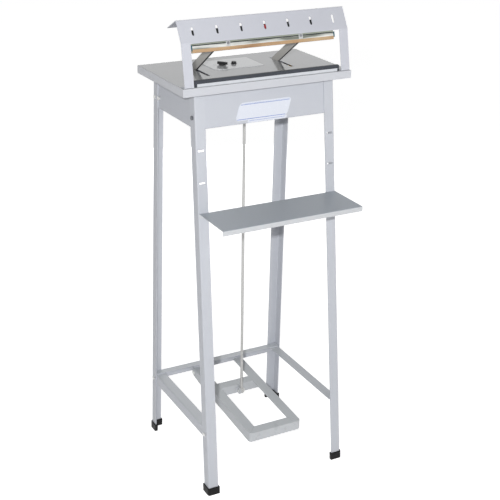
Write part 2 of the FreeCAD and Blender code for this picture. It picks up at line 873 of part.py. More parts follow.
def lever_pin():
    """Headed pin through the lever's end, standing out to carry the rod's eye."""
    tip = lever_tip()
    left = rod_side - rod_eye_wall / 2 - pin_end_reach
    right = lever_side + lever_wall
    pin = rod_between(V(left, tip.y, tip.z), X, right - left + 1, pin_diameter)
    head = rod_between(V(right + seat_gap, tip.y, tip.z), X, pin_head_height, pin_head_diameter)
    return swing_open(pin.fuse(head).removeSplitter())


def shaft_half_length():
    return bracket_outer() - 1


def rocker_shaft():
    half = shaft_half_length()
    shaft = rod_between(V(-half, pivot.y, pivot.z), X, 2 * half, shaft_diameter)
    return shaft.makeChamfer(chamfer, [edge for edge in shaft.Edges if edge.Closed])


def bracket_outer():
    """X of a shaft bracket's outer face, against the inside of the cabinet's side wall."""
    return brace_outer(table_under) - sheet - seat_gap


def shaft_bracket(side):
    """Plate bolted inside the cabinet's side wall, with its top edge turned in under the table."""
    outer = bracket_outer()
    low = table_under - bracket_drop
    start = pivot_back - bracket_width / 2 if side == RIGHT else pivot_back + bracket_width / 2
    run = Y * bracket_width if side == RIGHT else Y * -bracket_width
    points = [V(side * (outer - bracket_flange), start, table_under),
              V(side * outer, start, table_under), V(side * outer, start, low)]
    solid = bent_sheet(points, bracket_wall, bend, run)
    seat = V(side * (outer - 3 * bracket_wall), pivot.y, pivot.z)
    solid = solid.cut(rod_between(seat, X * side, 6 * bracket_wall, bore_diameter + 2 * bush_wall))
    for place in (flange_middle(side, REAR, cabinet_bolt_height), bracket_bolt_place(side)):
        solid = solid.cut(bolt_hole(place, X, 5 * angle_wall))
    return solid


def shaft_bushes():
    bushes = []
    outer = bracket_outer()
    for side in (LEFT, RIGHT):
        start = V(side * (outer - seat_gap), pivot.y, pivot.z)
        tube = rod_between(start, X * -side, bush_length, shaft_diameter + 2 * bush_wall)
        bore = rod_between(start + X * side, X * -side, bush_length + 2, bore_diameter)
        bushes.append(tube.cut(bore))
    return bushes


# Pull rod, spring and bridge

def rod_top():
    """Centre of the rod's top eye with the rocker open."""
    return V(rod_side, rod_top_back, pivot_height + lever_drop)


def rod_foot():
    """Centre of the rod's bottom eye with the pedal up."""
    return V(rod_side, rod_foot_back, rod_pin_height)


def pull_rod():
    top, foot = rod_top(), rod_foot()
    length = top.distanceToPoint(foot)
    way = (top - foot).normalize()
    solid = rod_between(foot, way, length, rod_diameter)
    for centre in (top, foot):
        solid = solid.fuse(rod_between(centre - X * (rod_eye_wall / 2), X, rod_eye_wall, rod_eye_diameter))
    for centre, play in ((top, rod_top_play), (foot, running_play)):
        start = centre - X * rod_eye_wall
        solid = solid.cut(rod_between(start, X, 2 * rod_eye_wall, pin_diameter + 2 * play))
    return solid


def rod_at(z):
    """Point on the rod's axis at height z."""
    top, foot = rod_top(), rod_foot()
    return foot + (top - foot) * ((z - foot.z) / (top.z - foot.z))


def rod_collar():
    """Flanged nut on the rod, over the spring."""
    base = rod_at(bridge_top + spring_length)
    way = (rod_top() - rod_foot()).normalize()
    flange = rod_between(V(0, 0, 0), Z, collar_wall, collar_diameter)
    nut = flange.fuse(hexagon(collar_nut_width, collar_nut_height, V(0, 0, collar_wall))).removeSplitter()
    bore = rod_between(V(0, 0, -1), Z, 2 * collar_diameter, rod_diameter + 2 * running_play)
    return point_along(nut.cut(bore), base, way)


def return_spring():
    """Open coil spring standing on the bridge round the rod."""
    seat = rod_at(bridge_top)
    low = bridge_top + spring_wire / 2 + seat_gap
    rise = spring_length - spring_wire - 3 * seat_gap
    radius = spring_mean_diameter / 2
    steps = spring_turns * spring_steps
    coil = []
    for i in range(steps + 1):
        turn = 2 * pi * i / spring_steps
        coil.append(V(seat.x + radius * cos(turn), seat.y + radius * sin(turn), low + rise * i / steps))
    ring = []
    for i in range(7):
        ring.append(coil[0] + (X * cos(i * pi / 3) + Z * sin(i * pi / 3)) * (spring_wire / 2))
    section = Part.Wire(Part.makePolygon(ring))
    return Part.Wire(Part.makePolygon(coil)).makePipeShell([section], True, True, 1)


def spring_bridge():
    """Strip across the cabinet's bottom flanges, with the rod's hole and a post for the switch."""
    z = cabinet_bottom + sheet
    front = leg_y(FRONT, z) + angle_wall + sheet + bend + seat_gap
    back = leg_y(REAR, z) - angle_wall - sheet - bend - seat_gap
    left = rod_side - bridge_width / 2
    right = left + bridge_width
    solid = Part.makeBox(bridge_width, back - front, bridge_wall, V(left, front, z))
    hole = rod_at(z)
    solid = solid.cut(rod_between(V(hole.x, hole.y, z - 1), Z, bridge_wall + 2, bridge_hole))
    post_x = switch_x() + switch_width
    post_base = V(post_x, switch_front, bridge_top)
    post = Part.makeBox(post_wall, switch_length, switch_top - bridge_top, post_base)
    foot = Part.makeBox(right - post_x, switch_length, 2 * post_wall, post_base)
    solid = solid.fuse(post).fuse(foot).removeSplitter()
    for place in bridge_screw_places():
        solid = solid.cut(screw_hole(place, 3 * sheet))
    return solid


def bridge_screw_places():
    """Screw seats over the bottom flanges of the front and rear walls."""
    inset = angle_wall + sheet + cabinet_flange * 0.6
    return [V(rod_side, leg_y(end, cabinet_bottom) - end * inset, bridge_top) for end in (FRONT, REAR)]


# Switch that the lever trips

def switch_x():
    """Left side of the switch, under the middle of the lever."""
    return lever_side + lever_wall / 2 - switch_width / 2


def switch_pivot():
    back = switch_front + switch_length - switch_ear_reach
    return V(switch_x() + switch_width / 2, back, switch_top + switch_axle_rise)


def limit_switch():
    """Switch with two ears for its lever's axle and three blades underneath."""
    bottom = switch_top - switch_height
    body = Part.makeBox(switch_width, switch_length, switch_height, V(switch_x(), switch_front, bottom))
    hinge = switch_pivot()
    front, back = hinge.y - switch_ear_reach, hinge.y + switch_ear_reach
    high = hinge.z + switch_axle_rise
    ear = [(front, switch_top, 0), (back, switch_top, 0), (back, high, bend), (front, high, bend)]
    for x in (switch_x(), switch_x() + switch_width - switch_ear_wall):
        body = body.fuse(prism(side_outline(x, ear), X * switch_ear_wall))
    start = V(switch_x() - 1, hinge.y, hinge.z)
    bore = rod_between(start, X, switch_width + 2, switch_axle_diameter + 2 * running_play)
    body = body.removeSplitter().cut(bore)
    for i in (-1, 0, 1):
        y = switch_front + switch_length / 2 + i * switch_length / 3
        body = body.fuse(centred_box(switch_blade_size, V(hinge.x, y, bottom - switch_blade_size.z / 2)))
    return body.removeSplitter()


def switch_lever():
    """Blade with a roller at its end, on an axle between the switch's ears."""
    hinge = switch_pivot()
    width = switch_width - 2 * (switch_ear_wall + 2 * seat_gap)
    left = hinge.x - width / 2
    near = V(left, hinge.y, hinge.z)
    far = near + V(0, -switch_lever_reach, switch_lever_rise)
    across = X.cross((far - near).normalize()) * (switch_lever_wall / 2)
    blade = prism([(near + across, 0), (near - across, 0), (far - across, 0), (far + across, 0)], X * width)
    barrel = rod_between(near, X, width, switch_barrel_diameter)
    axle_length = switch_width - 2 * seat_gap
    axle = rod_between(hinge - X * (axle_length / 2), X, axle_length, switch_axle_diameter)
    wheel = rod_between(far, X, width, switch_roller_diameter)
    return blade.fuse([barrel, axle, wheel]).removeSplitter()


# Pedal, drawn level

def pedal_y(forward):
    """Y of a point that lies so far in front of the pedal's hinge."""
    return pedal_hinge_back - forward


def pedal_block(inset, bottom, top, heel):
    """Block with the pedal's outline, its front corners rounded."""
    half = pedal_width / 2 - inset
    front = pedal_y(pedal_reach - inset)
    back = pedal_y(-heel)
    radius = pedal_corner - inset
    points = [(-half, back, 0), (-half, front, radius), (half, front, radius), (half, back, 0)]
    return prism(plan_outline(bottom, points), Z * (top - bottom))


def pedal_frame():
    """Folded frame: angle all round the front, a cross angle, and two arms back to the hinge."""
    bottom = pedal_top - angle_flange
    heel = hinge_lug_round * 1.3
    solid = pedal_block(0, bottom, pedal_top, heel)
    solid = solid.cut(pedal_block(angle_wall, bottom - 1, pedal_top - angle_wall, 3 * heel))
    inside = pedal_width / 2 - angle_flange
    cross_front = pedal_y(crosspiece_reach)
    cross_back = cross_front + angle_flange
    front = pedal_y(pedal_reach - angle_flange)
    for low, high in ((front, cross_front), (cross_back, pedal_y(-3 * heel))):
        window = V(2 * inside, high - low, angle_flange)
        solid = solid.cut(centred_box(window, V(0, (low + high) / 2, pedal_top)))
    cross = Part.makeBox(pedal_width - 2 * angle_wall, angle_wall, angle_flange - angle_wall / 2,
                         V(angle_wall - pedal_width / 2, cross_front, bottom))
    solid = solid.fuse(cross).removeSplitter()
    web_end = [(pedal_y(-2 * heel), pedal_top + 1, 0), (pedal_y(-2 * heel), bottom - 1, 0),
               (pedal_y(pedal_taper), bottom - 1, 0), (pedal_y(pedal_taper), bottom, 0),
               (pedal_y(0), pedal_hinge_height - heel, 0),
               (pedal_y(-heel), pedal_hinge_height - heel, heel), (pedal_y(-heel), pedal_top + 1, 0)]
    solid = solid.cut(prism(side_outline(-pedal_width, web_end), X * (2 * pedal_width)))
    behind = V(pedal_width - 2 * angle_wall, 4 * heel, 2 * angle_wall)
    solid = solid.cut(centred_box(behind, V(0, pedal_y(-pedal_heel) + behind.y / 2, pedal_top)))
    lug_front = rod_pin_level().y - rod_eye_diameter / 2
    lug_low, lug_high = rod_pin_level().z - rod_eye_diameter / 2, rod_pin_level().z + rod_eye_diameter / 2
    lug = [(cross_front, lug_low, 0), (cross_front, lug_high, 0),
           (lug_front, lug_high, rod_lug_corner), (lug_front, lug_low, rod_lug_corner)]
    solid = solid.fuse(prism(side_outline(rod_lug_left(), lug), X * rod_lug_wall)).removeSplitter()
    for place in (pedal_hinge, rod_pin_level()):
        start = V(-pedal_width, place.y, place.z)
        solid = solid.cut(rod_between(start, X, 2 * pedal_width, pin_bore_diameter))
    return lean_pedal(solid)


def rod_pin_level():
    """Centre of the rod's pin, turned back to where it lies in the level pedal."""
    place = Part.Vertex(rod_foot())
    place.rotate(pedal_hinge, X, -pedal_droop)
    return place.Point


def rod_lug_left():
    """X of the outer side of the rod's lug."""
    return rod_side - rod_eye_wall / 2 - rod_lug_wall - hinge_side_gap


def lug_inner():
    """Distance from the middle to the inner side of a hinge lug."""
    return pedal_width / 2 - angle_wall - hinge_side_gap - hinge_lug_wall


def pedal_pins():
    """Two hinge pins held in the pedal's arms, and the pin that carries the rod."""
    pins = []
    for side in (LEFT, RIGHT):
        outside = V(side * pedal_width / 2, pedal_hinge.y, pedal_hinge.z)
        length = pedal_width / 2 - lug_inner() + pin_end_reach
        pin = rod_between(outside + X * (side * seat_gap), X * -side, length + seat_gap, pin_diameter)
        head = rod_between(outside + X * (side * seat_gap), X * side, pin_head_height, pin_head_diameter)
        pins.append(lean_pedal(pin.fuse(head).removeSplitter()))
    place = rod_pin_level()
    left = rod_lug_left() - pin_end_reach
    right = rod_side + rod_eye_wall / 2 + hinge_side_gap
    pin = rod_between(V(left, place.y, place.z), X, right - left + 1, pin_diameter)
    head = rod_between(V(right, place.y, place.z), X, pin_head_height, pin_head_diameter)
    pins.append(lean_pedal(pin.fuse(head).removeSplitter()))
    return pins


def pedal_lugs():
    """Lugs on the crossbar's web that carry the pedal."""
    high = pedal_hinge.z + hinge_lug_round
    low = pedal_hinge.z - hinge_lug_round
    web_low = max(low, crossbar_top - angle_flange)
    front = pedal_hinge.y - hinge_lug_round
    points = [(leg_y(REAR, web_low) - 2 * angle_wall, web_low, 0),
              (leg_y(REAR, high) - 2 * angle_wall, high, 0),
              (front, high, hinge_lug_round), (front, low, hinge_lug_round),
              (pedal_hinge.y + hinge_lug_round / 2, low, 0)]
    bore = rod_between(V(-pedal_width, pedal_hinge.y, pedal_hinge.z), X, 2 * pedal_width, pin_bore_diameter)
    lugs = []
    for start in (-lug_inner() - hinge_lug_wall, lug_inner()):
        lugs.append(prism(side_outline(start, points), X * hinge_lug_wall).cut(bore))
    return lugs


# Controls

def control_plate():
    points = [(plate_left, 0, plate_big_corner), (plate_right, 0, plate_corner),
              (plate_right, plate_back, plate_corner), (plate_left, plate_back, plate_corner)]
    return prism(plan_outline(work_height, points), Z * plate_wall).cut(control_holes())


def timer_pot():
    """Rotary timer under the table: can, threaded bushing and spindle."""
    base = V(knob_x, knob_back, table_under)
    can = rod_between(base - Z * timer_can_depth, Z, timer_can_depth, timer_can_diameter)
    bushing = rod_between(base, Z, control_top + bushing_height - table_under, bushing_diameter)
    spindle = rod_between(base, Z, control_top + spindle_height - table_under, spindle_diameter)
    return can.fuse([bushing, spindle]).removeSplitter()


def timer_knob():
    """Flat pointer knob: skirt, tapering bar and a bore for the spindle."""
    low = control_top + bushing_height + knob_gap
    skirt = rod_between(V(knob_x, knob_back, low), Z, knob_skirt_height, knob_skirt_diameter)
    upper = [edge for edge in skirt.Edges if edge.Closed and edge.BoundBox.ZMin > low + 1]
    skirt = skirt.makeChamfer(chamfer, upper)
    left, right = knob_x - knob_bar_length / 2, knob_x + knob_bar_length / 2
    broad, narrow = knob_bar_width / 2, knob_bar_width / 4
    points = [(left, knob_back - broad, broad * 0.8), (right, knob_back - narrow, narrow * 0.8),
              (right, knob_back + narrow, narrow * 0.8), (left, knob_back + broad, broad * 0.8)]
    foot = low + knob_skirt_height / 2
    grip = prism(plan_outline(foot, points), Z * (low + knob_height - foot))
    bore_depth = control_top + spindle_height + knob_gap - low + 1
    bore = rod_between(V(knob_x, knob_back, low - 1), Z, bore_depth, spindle_diameter + 2 * running_play)
    knob = skirt.fuse(grip).removeSplitter().cut(bore)
    knob.rotate(V(knob_x, knob_back, 0), Z, knob_turn)
    return knob


def fuse_holder():
    base = V(fuse_x, fuse_back, control_top)
    barrel = rod_between(base - Z * fuse_depth, Z, fuse_depth, fuse_diameter)
    rim = rod_between(base, Z, fuse_flange_height, fuse_flange_diameter)
    body = barrel.fuse(rim).removeSplitter()
    bottom = base - Z * (fuse_depth - 2 * fuse_wall)
    return body.cut(rod_between(bottom, Z, 2 * fuse_depth, fuse_diameter - 2 * fuse_wall))


def fuse_cap():
    """Bayonet cap with a coin slot; its stem reaches down into the holder."""
    low = control_top + fuse_flange_height + seat_gap
    base = V(fuse_x, fuse_back, low)
    cap = rod_between(base, Z, fuse_cap_height, fuse_cap_diameter)
    upper = [edge for edge in cap.Edges if edge.Closed and edge.BoundBox.ZMin > low + 1]
    cap = cap.makeChamfer(chamfer, upper)
    stem_diameter = fuse_diameter - 2 * fuse_wall - 2 * running_play
    stem = rod_between(base - Z * fuse_stem_length, Z, fuse_stem_length, stem_diameter)
    slot_size = V(fuse_cap_diameter * 0.8, coin_slot_width, 2 * coin_slot_depth)
    slot = centred_box(slot_size, base + Z * fuse_cap_height)
    return cap.fuse(stem).removeSplitter().cut(slot)


# Electrical parts

def tray():
    """Shallow channel across the cabinet's bottom flanges."""
    z = cabinet_bottom + sheet
    front = leg_y(FRONT, z) + angle_wall + sheet + bend + seat_gap
    back = leg_y(REAR, z) - angle_wall - sheet - bend - seat_gap
    points = [V(tray_right, front, z + tray_edge), V(tray_right, front, z),
              V(tray_left, front, z), V(tray_left, front, z + tray_edge)]
    solid = bent_sheet(points, sheet, bend, Y * (back - front))
    for place in clamp_screw_places():
        solid = solid.cut(screw_hole(place, 4 * sheet))
    return solid


def transformer_core():
    """Stack of laminations with a window each side of the middle limb."""
    start = core_back - core_stack / 2
    half = core_width / 2
    plate = [(core_x - half, tray_top, 0), (core_x + half, tray_top, 0),
             (core_x + half, tray_top + core_height, 0), (core_x - half, tray_top + core_height, 0)]
    core = prism(front_outline(start, plate), Y * core_stack)
    for side in (LEFT, RIGHT):
        middle = V(core_x + side * 1.5 * core_unit, core_back, tray_top + core_height / 2)
        core = core.cut(centred_box(V(core_unit, 2 * core_stack, 3 * core_unit), middle))
    return core


def transformer_coil():
    """Winding round the middle limb, bulging out at both faces of the core."""
    low = tray_top + core_unit + coil_play
    height = 3 * core_unit - 2 * coil_play
    half_x, half_y = 2 * core_unit - coil_play, core_stack / 2 + coil_bulge
    outer = []
    for u, v in ((-1, -1), (1, -1), (1, 1), (-1, 1)):
        outer.append((core_x + u * half_x, core_back + v * half_y, coil_corner))
    coil = prism(plan_outline(low, outer), Z * height)
    limb = V(2 * core_unit + 2 * coil_play, core_stack + 2 * coil_play, 2 * height)
    return coil.cut(centred_box(limb, V(core_x, core_back, low + height / 2)))


def transformer_clamp():
    """Strap over the core with a foot each side."""
    strap_width = core_stack * 0.7
    start = core_back - strap_width / 2
    low = tray_top + sheet
    top = low + core_height
    side = core_width / 2 + sheet
    foot = core_width / 2 + clamp_foot
    points = [V(core_x - foot, start, low), V(core_x - side, start, low), V(core_x - side, start, top),
              V(core_x + side, start, top), V(core_x + side, start, low), V(core_x + foot, start, low)]
    solid = bent_sheet(points, sheet, bend / 2, Y * strap_width)
    for place in clamp_screw_places():
        solid = solid.cut(screw_hole(place, 2 * sheet))
    return solid


def clamp_screw_places():
    reach = core_width / 2 + clamp_screw_reach
    return [V(core_x + side * reach, core_back, tray_top + sheet) for side in (LEFT, RIGHT)]


def panel_screws():
    places = clamp_screw_places() + bridge_screw_places()
    return [pan_screw(place + Z * seat_gap, Z * -1, 4 * sheet) for place in places]


def timer_board():
    """Circuit board on four posts, with a relay, a capacitor and a terminal strip."""
    low = tray_top + standoff_height
    size = V(board_size, board_size, board_wall)
    board = centred_box(size, V(board_x, board_back, low + board_wall / 2))
    reach = board_size / 2 - standoff_inset
    for u in (-1, 1):
        for v in (-1, 1):
            place = V(board_x + u * reach, board_back + v * reach, tray_top + standoff_height / 2)
            board = board.fuse(centred_box(V(standoff_width, standoff_width, standoff_height), place))
    middle = V(board_x, board_back, low + board_wall)
    relay = centred_box(relay_size, middle + relay_place + Z * (relay_size.z / 2))
    capacitor = rod_between(middle + capacitor_place, Z, capacitor_height, capacitor_diameter)
    strip = centred_box(strip_size, middle + strip_place + Z * (strip_size.z / 2))
    return board.fuse([relay, capacitor, strip]).removeSplitter()


def cable_gland():
    """Nylon gland through the rear wall: hexagon and domed nut outside, lock nut inside."""
    lean = rear_lean() * gland_thread
    seat = leg_y(REAR, gland_height) - angle_wall + lean
    shoulder = gland_hexagon_height + gland_dome_side
    tip = shoulder + gland_dome_height
    stem = rod_between(V(0, 0, -gland_stem_inside), Z, gland_stem_inside + shoulder, gland_thread)
    hex_body = hexagon(gland_nut_width, gland_hexagon_height, V(0, 0, 0))
    profile = [(0, gland_hexagon_height, 0), (gland_dome_base / 2, gland_hexagon_height, 0),
               (gland_dome_base / 2, shoulder, 0), (gland_dome_mouth / 2, tip, 0), (0, tip, 0)]
    dome = Part.Face(rounded_outline(front_outline(0, profile))).revolve(V(0, 0, 0), Z, 360)
    lock_top = -sheet - 2 * lean - seat_gap
    lock_nut = hexagon(gland_nut_width, gland_lock_nut_height, V(0, 0, lock_top - gland_lock_nut_height))
    gland = stem.fuse([hex_body, dome, lock_nut]).removeSplitter()
    gland = gland.cut(rod_between(V(0, 0, -2 * tip), Z, 4 * tip, gland_bore))
    return point_along(gland, V(gland_x, seat, gland_height), Y)


def rear_lean():
    """How far the rear legs run out of upright for each millimetre of height."""
    return abs(leg_y(REAR, 1) - leg_y(REAR, 0))


# Bolts

def cabinet_bolts():
    """Bolts that hold the cabinet to the legs, and the shaft brackets to the cabinet."""
    solids = []
    inner = bracket_outer() - bracket_wall
    for side in (LEFT, RIGHT):
        ends = [flange_middle(side, end, cabinet_bolt_height) for end in (FRONT, REAR)]
        for place in ends + [bracket_bolt_place(side)]:
            seat = place + X * (side * seat_gap)
            behind = abs(seat.x) - inner if place.y > 0 else angle_wall + sheet + seat_gap
            solids.append(bolt_and_nut(seat, X * -side, behind + seat_gap))
    return solids


def brace_bolts():
    """Bolts that hold the braces and the crossbar to the legs."""
    solids = []
    for side in (LEFT, RIGHT):
        for end in (FRONT, REAR):
            seat = flange_middle(side, end, brace_middle) + X * (side * seat_gap)
            solids.append(bolt_and_nut(seat, X * -side, 2 * angle_wall + 2 * seat_gap))
        seat = rear_flange_middle(side, brace_middle) - Y * (angle_wall + seat_gap)
        solids.append(bolt_and_nut(seat, Y, 2 * angle_wall + 2 * seat_gap))
    return solids


def pieces():
    """Every node of the sealer with its shape."""
    found = {
        "table_top": table_top(),
        "front_apron": end_apron(FRONT),
        "rear_apron": end_apron(REAR),
        "left_apron": side_apron(LEFT),
        "right_apron": side_apron(RIGHT),
        "rear_crossbar": rear_crossbar(),
        "left_brace": brace(LEFT),
        "right_brace": brace(RIGHT),
        "shelf": shelf(),
        "guard": guard(),
        "anvil_bar": anvil_bar(),
        "anvil_rubber": anvil_rubber(),
        "table_screws": table_screws(),
        "control_plate": control_plate(),
        "timer_pot": timer_pot(),
        "timer_knob": timer_knob(),
        "fuse_holder": fuse_holder(),
        "fuse_cap": fuse_cap(),
        "left_shaft_bracket": shaft_bracket(LEFT),
        "right_shaft_bracket": shaft_bracket(RIGHT),
        "shaft_bushes": shaft_bushes(),
        "rocker_shaft": rocker_shaft(),
        "left_jaw_arm": jaw_arm(LEFT),
        "right_jaw_arm": jaw_arm(RIGHT),
        "rod_lever": rod_lever(),
        "lever_pin": lever_pin(),
        "jaw_bar": jaw_bar(),
        "jaw_stiffener": jaw_stiffener(),
        "heating_ribbon": heating_ribbon(),
        "ptfe_tape": ptfe_tape(),
        "ribbon_terminals": ribbon_terminals(),
        "lead_block": lead_block(),
        "jaw_screws": jaw_screws(),
        "pull_rod": pull_rod(),
        "rod_collar": rod_collar(),
        "return_spring": return_spring(),
        "spring_bridge": spring_bridge(),
        "limit_switch": limit_switch(),
        "switch_lever": switch_lever(),
        "pedal_frame": pedal_frame(),
        "pedal_pins": pedal_pins(),
        "pedal_lugs": pedal_lugs(),
        "tray": tray(),
        "transformer_core": transformer_core(),
        "transformer_coil": transformer_coil(),
        "transformer_clamp": transformer_clamp(),
        "timer_board": timer_board(),
        "cable_gland": cable_gland(),
        "panel_screws": panel_screws(),
        "cabinet_bolts": cabinet_bolts(),
        "brace_bolts": brace_bolts(),
    }
    for end, end_name in ((FRONT, "front"), (REAR, "rear")):
        for side, side_name in ((LEFT, "left"), (RIGHT, "right")):
            found[end_name + "_" + side_name + "_leg"] = leg(side, end)
            found[end_name + "_" + side_name + "_foot_cap"] = foot_cap(side, end)
    return found


def overall_middle():
    """Y halfway between the shelf's front edge and the back of the rear feet."""
    shelf_front = leg_y(FRONT, shelf_slot_height + shelf_rise) - seat_gap - shelf_depth
    feet_back = leg_y(REAR, 0) + foot_cap_wall
    return (shelf_front + feet_back) / 2


# The origin of the finished part is on the floor under the middle of its overall box.
os.makedirs("parts", exist_ok=True)
for name, shape in pieces().items():
    solid = Part.makeCompound(shape) if isinstance(shape, list) else shape
    solid.translate(Y * -overall_middle())
    solid.exportStep("parts/" + name + ".step")
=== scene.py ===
import json
from math import cos, pi, radians, sin

import bmesh
import bpy
from mathutils import Matrix, Vector


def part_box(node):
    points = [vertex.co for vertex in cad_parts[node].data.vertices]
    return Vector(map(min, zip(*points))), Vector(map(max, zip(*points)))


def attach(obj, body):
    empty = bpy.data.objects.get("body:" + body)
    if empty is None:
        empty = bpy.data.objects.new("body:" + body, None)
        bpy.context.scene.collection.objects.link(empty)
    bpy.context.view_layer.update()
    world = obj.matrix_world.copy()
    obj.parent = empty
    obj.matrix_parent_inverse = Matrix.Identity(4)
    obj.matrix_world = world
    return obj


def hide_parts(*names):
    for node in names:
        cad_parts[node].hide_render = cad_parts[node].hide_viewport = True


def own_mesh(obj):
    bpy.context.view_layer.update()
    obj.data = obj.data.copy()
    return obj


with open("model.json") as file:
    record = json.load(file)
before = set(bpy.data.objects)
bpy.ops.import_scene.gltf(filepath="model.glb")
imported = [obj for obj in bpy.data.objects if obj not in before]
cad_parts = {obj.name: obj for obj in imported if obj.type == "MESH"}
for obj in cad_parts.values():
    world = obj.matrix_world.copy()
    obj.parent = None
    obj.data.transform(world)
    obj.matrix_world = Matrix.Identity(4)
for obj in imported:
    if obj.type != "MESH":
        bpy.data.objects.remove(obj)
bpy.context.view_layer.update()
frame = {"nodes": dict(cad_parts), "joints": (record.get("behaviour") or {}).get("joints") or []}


# Legs, braces and crossbar
# Folded steel angle, sheared to length, degreased and sprayed with a pale grey stove enamel that
# leaves a faint orange peel. The braces and the crossbar are bolted between the legs.

class Value:
    """One output of a shader node. Sums on it add the nodes that work them out."""

    def __init__(self, finish, socket):
        self.finish = finish
        self.socket = socket

    def maths(self, operation, *others):
        return self.finish.add("ShaderNodeMath", {"operation": operation}, dict(enumerate((self, *others))))

    def __add__(self, other):
        return self.maths("ADD", other)

    def __sub__(self, other):
        return self.maths("SUBTRACT", other)

    def __rsub__(self, other):
        return self * -1 + other

    def __mul__(self, other):
        return self.maths("MULTIPLY", other)

    def __truediv__(self, other):
        return self.maths("DIVIDE", other)

    def __gt__(self, other):
        return self.maths("GREATER_THAN", other)

    def __lt__(self, other):
        return self.maths("LESS_THAN", other)

    def __abs__(self):
        return self.maths("ABSOLUTE")

    def within(self, low, high):
        """1 from low to high and 0 outside."""
        return (self > low) * (self < high)

    def wave(self, pitch):
        """A ripple between 0 and 1 that comes back once in each pitch."""
        return (self * (2 * pi / pitch)).maths("SINE") * 0.5 + 0.5

    __radd__ = __add__


class Finish:
    """A surface finish, built up node by node."""

    def __init__(self, name, owner=None, shader="Principled BSDF"):
        self.owner = owner or bpy.data.materials.new(name)
        self.owner.use_nodes = True
        self.tree = self.owner.node_tree
        self.shader = self.tree.nodes[shader]

    def add(self, kind, settings, sockets, output=0):
        node = self.tree.nodes.new(kind)
        for key, value in settings.items():
            if key == "stops":
                self.set_stops(node.color_ramp, value)
            else:
                setattr(node, key, value)
        self.fill(node, sockets)
        return Value(self, node.outputs[output])

    def set_stops(self, ramp, stops):
        while len(ramp.elements) < len(stops):
            ramp.elements.new(1)
        for element, (position, colour) in zip(ramp.elements, stops):
            element.position = position
            element.color = colour

    def fill(self, node, sockets):
        for key, value in sockets.items():
            if isinstance(value, Value):
                self.tree.links.new(value.socket, node.inputs[key])
            else:
                node.inputs[key].default_value = value

    def place(self):
        return self.add("ShaderNodeTexCoord", {}, {}, "Object")

    def axis(self, name):
        """One coordinate of the place, in metres."""
        return self.add("ShaderNodeSeparateXYZ", {}, {0: self.place()}, name)

    def facing(self, name):
        """One part of the direction that the surface faces."""
        direction = self.add("ShaderNodeNewGeometry", {}, {}, "True Normal")
        return self.add("ShaderNodeSeparateXYZ", {}, {0: direction}, name)

    def noise(self, scale, detail=2, stretch=(1, 1, 1)):
        place = self.add("ShaderNodeVectorMath", {"operation": "MULTIPLY"}, {0: self.place(), 1: stretch})
        return self.add("ShaderNodeTexNoise", {}, {"Vector": place, "Scale": scale, "Detail": detail})

    def mix(self, low, high, share):
        return self.add("ShaderNodeMix", {"data_type": "RGBA"}, {0: share, 6: low, 7: high}, 2)

    def ramp(self, share, *stops):
        return self.add("ShaderNodeValToRGB", {"stops": stops}, {0: share})

    def bump(self, height, depth):
        return self.add("ShaderNodeBump", {}, {"Strength": 1, "Distance": depth, "Height": height})

    def surface(self, sockets):
        self.fill(self.shader, sockets)
        return self.owner


def paint(code):
    """The colour of a six-digit paint code."""
    channels = [int(code[i:i + 2], 16) / 255 for i in (0, 2, 4)]
    return (*[c / 12.92 if c <= 0.04045 else ((c + 0.055) / 1.055) ** 2.4 for c in channels], 1)


def dress(material, *names):
    """Give solids this finish in place of their plain one."""
    for name in names:
        slots = frame["nodes"][name].data.materials
        slots.clear()
        slots.append(material)


level_face = 0.7


def grey_enamel(name, side, top, gloss):
    """Stove enamel with a slow drift of tone, a fine peel, a few specks and a top in its own colour as
    painted light.
    """
    enamel = Finish(name)
    drift = enamel.noise(6, 4)
    runs = enamel.noise(45, 5, (1, 1, 0.12))
    specks = enamel.noise(1900, 1) > 0.76
    share = drift * 0.7 + runs * 0.3
    # The top's colour differs from the sides' only as painted light and shade, standing in for how the light
    # falls on level faces.
    painted_light_on_top = enamel.facing("Z") > level_face
    shade = enamel.mix(enamel.mix(paint(side[0]), paint(side[1]), share),
                       enamel.mix(paint(top[0]), paint(top[1]), share), painted_light_on_top)
    return enamel.surface({
        "Base Color": enamel.mix(shade, paint("85898e"), specks * 0.4),
        "Roughness": drift * 0.14 + runs * 0.06 + gloss,
        "Specular IOR Level": 0.45,
        "Normal": enamel.bump(enamel.noise(650, 2), 0.0001),
    })


stand_enamel = grey_enamel("stand_enamel", ("bfc2c9", "cbced5"), ("bdc1c6", "c8ccd0"), 0.3)
dress(stand_enamel, "front_left_leg", "front_right_leg", "rear_left_leg", "rear_right_leg",
      "left_brace", "right_brace", "rear_crossbar")

# Foot caps
# Black vinyl caps pushed over the ends of the angles. They are dip-moulded with a fine grain, and
# are scuffed and dusty near the floor.
cap_vinyl = Finish("cap_vinyl")
cap_height = 0.021
cap_grain = cap_vinyl.noise(1400, 3)
cap_dust = cap_vinyl.noise(60, 4) * (1 - cap_vinyl.axis("Z") / cap_height) * 0.3
dress(cap_vinyl.surface({
    "Base Color": cap_vinyl.mix(paint("0a0a0c"), paint("4a4845"), cap_dust),
    "Roughness": cap_grain * 0.2 + 0.45,
    "Specular IOR Level": 0.2,
    "Normal": cap_vinyl.bump(cap_grain, 0.0002),
}), *[name for name in frame["nodes"] if name.endswith("foot_cap")])

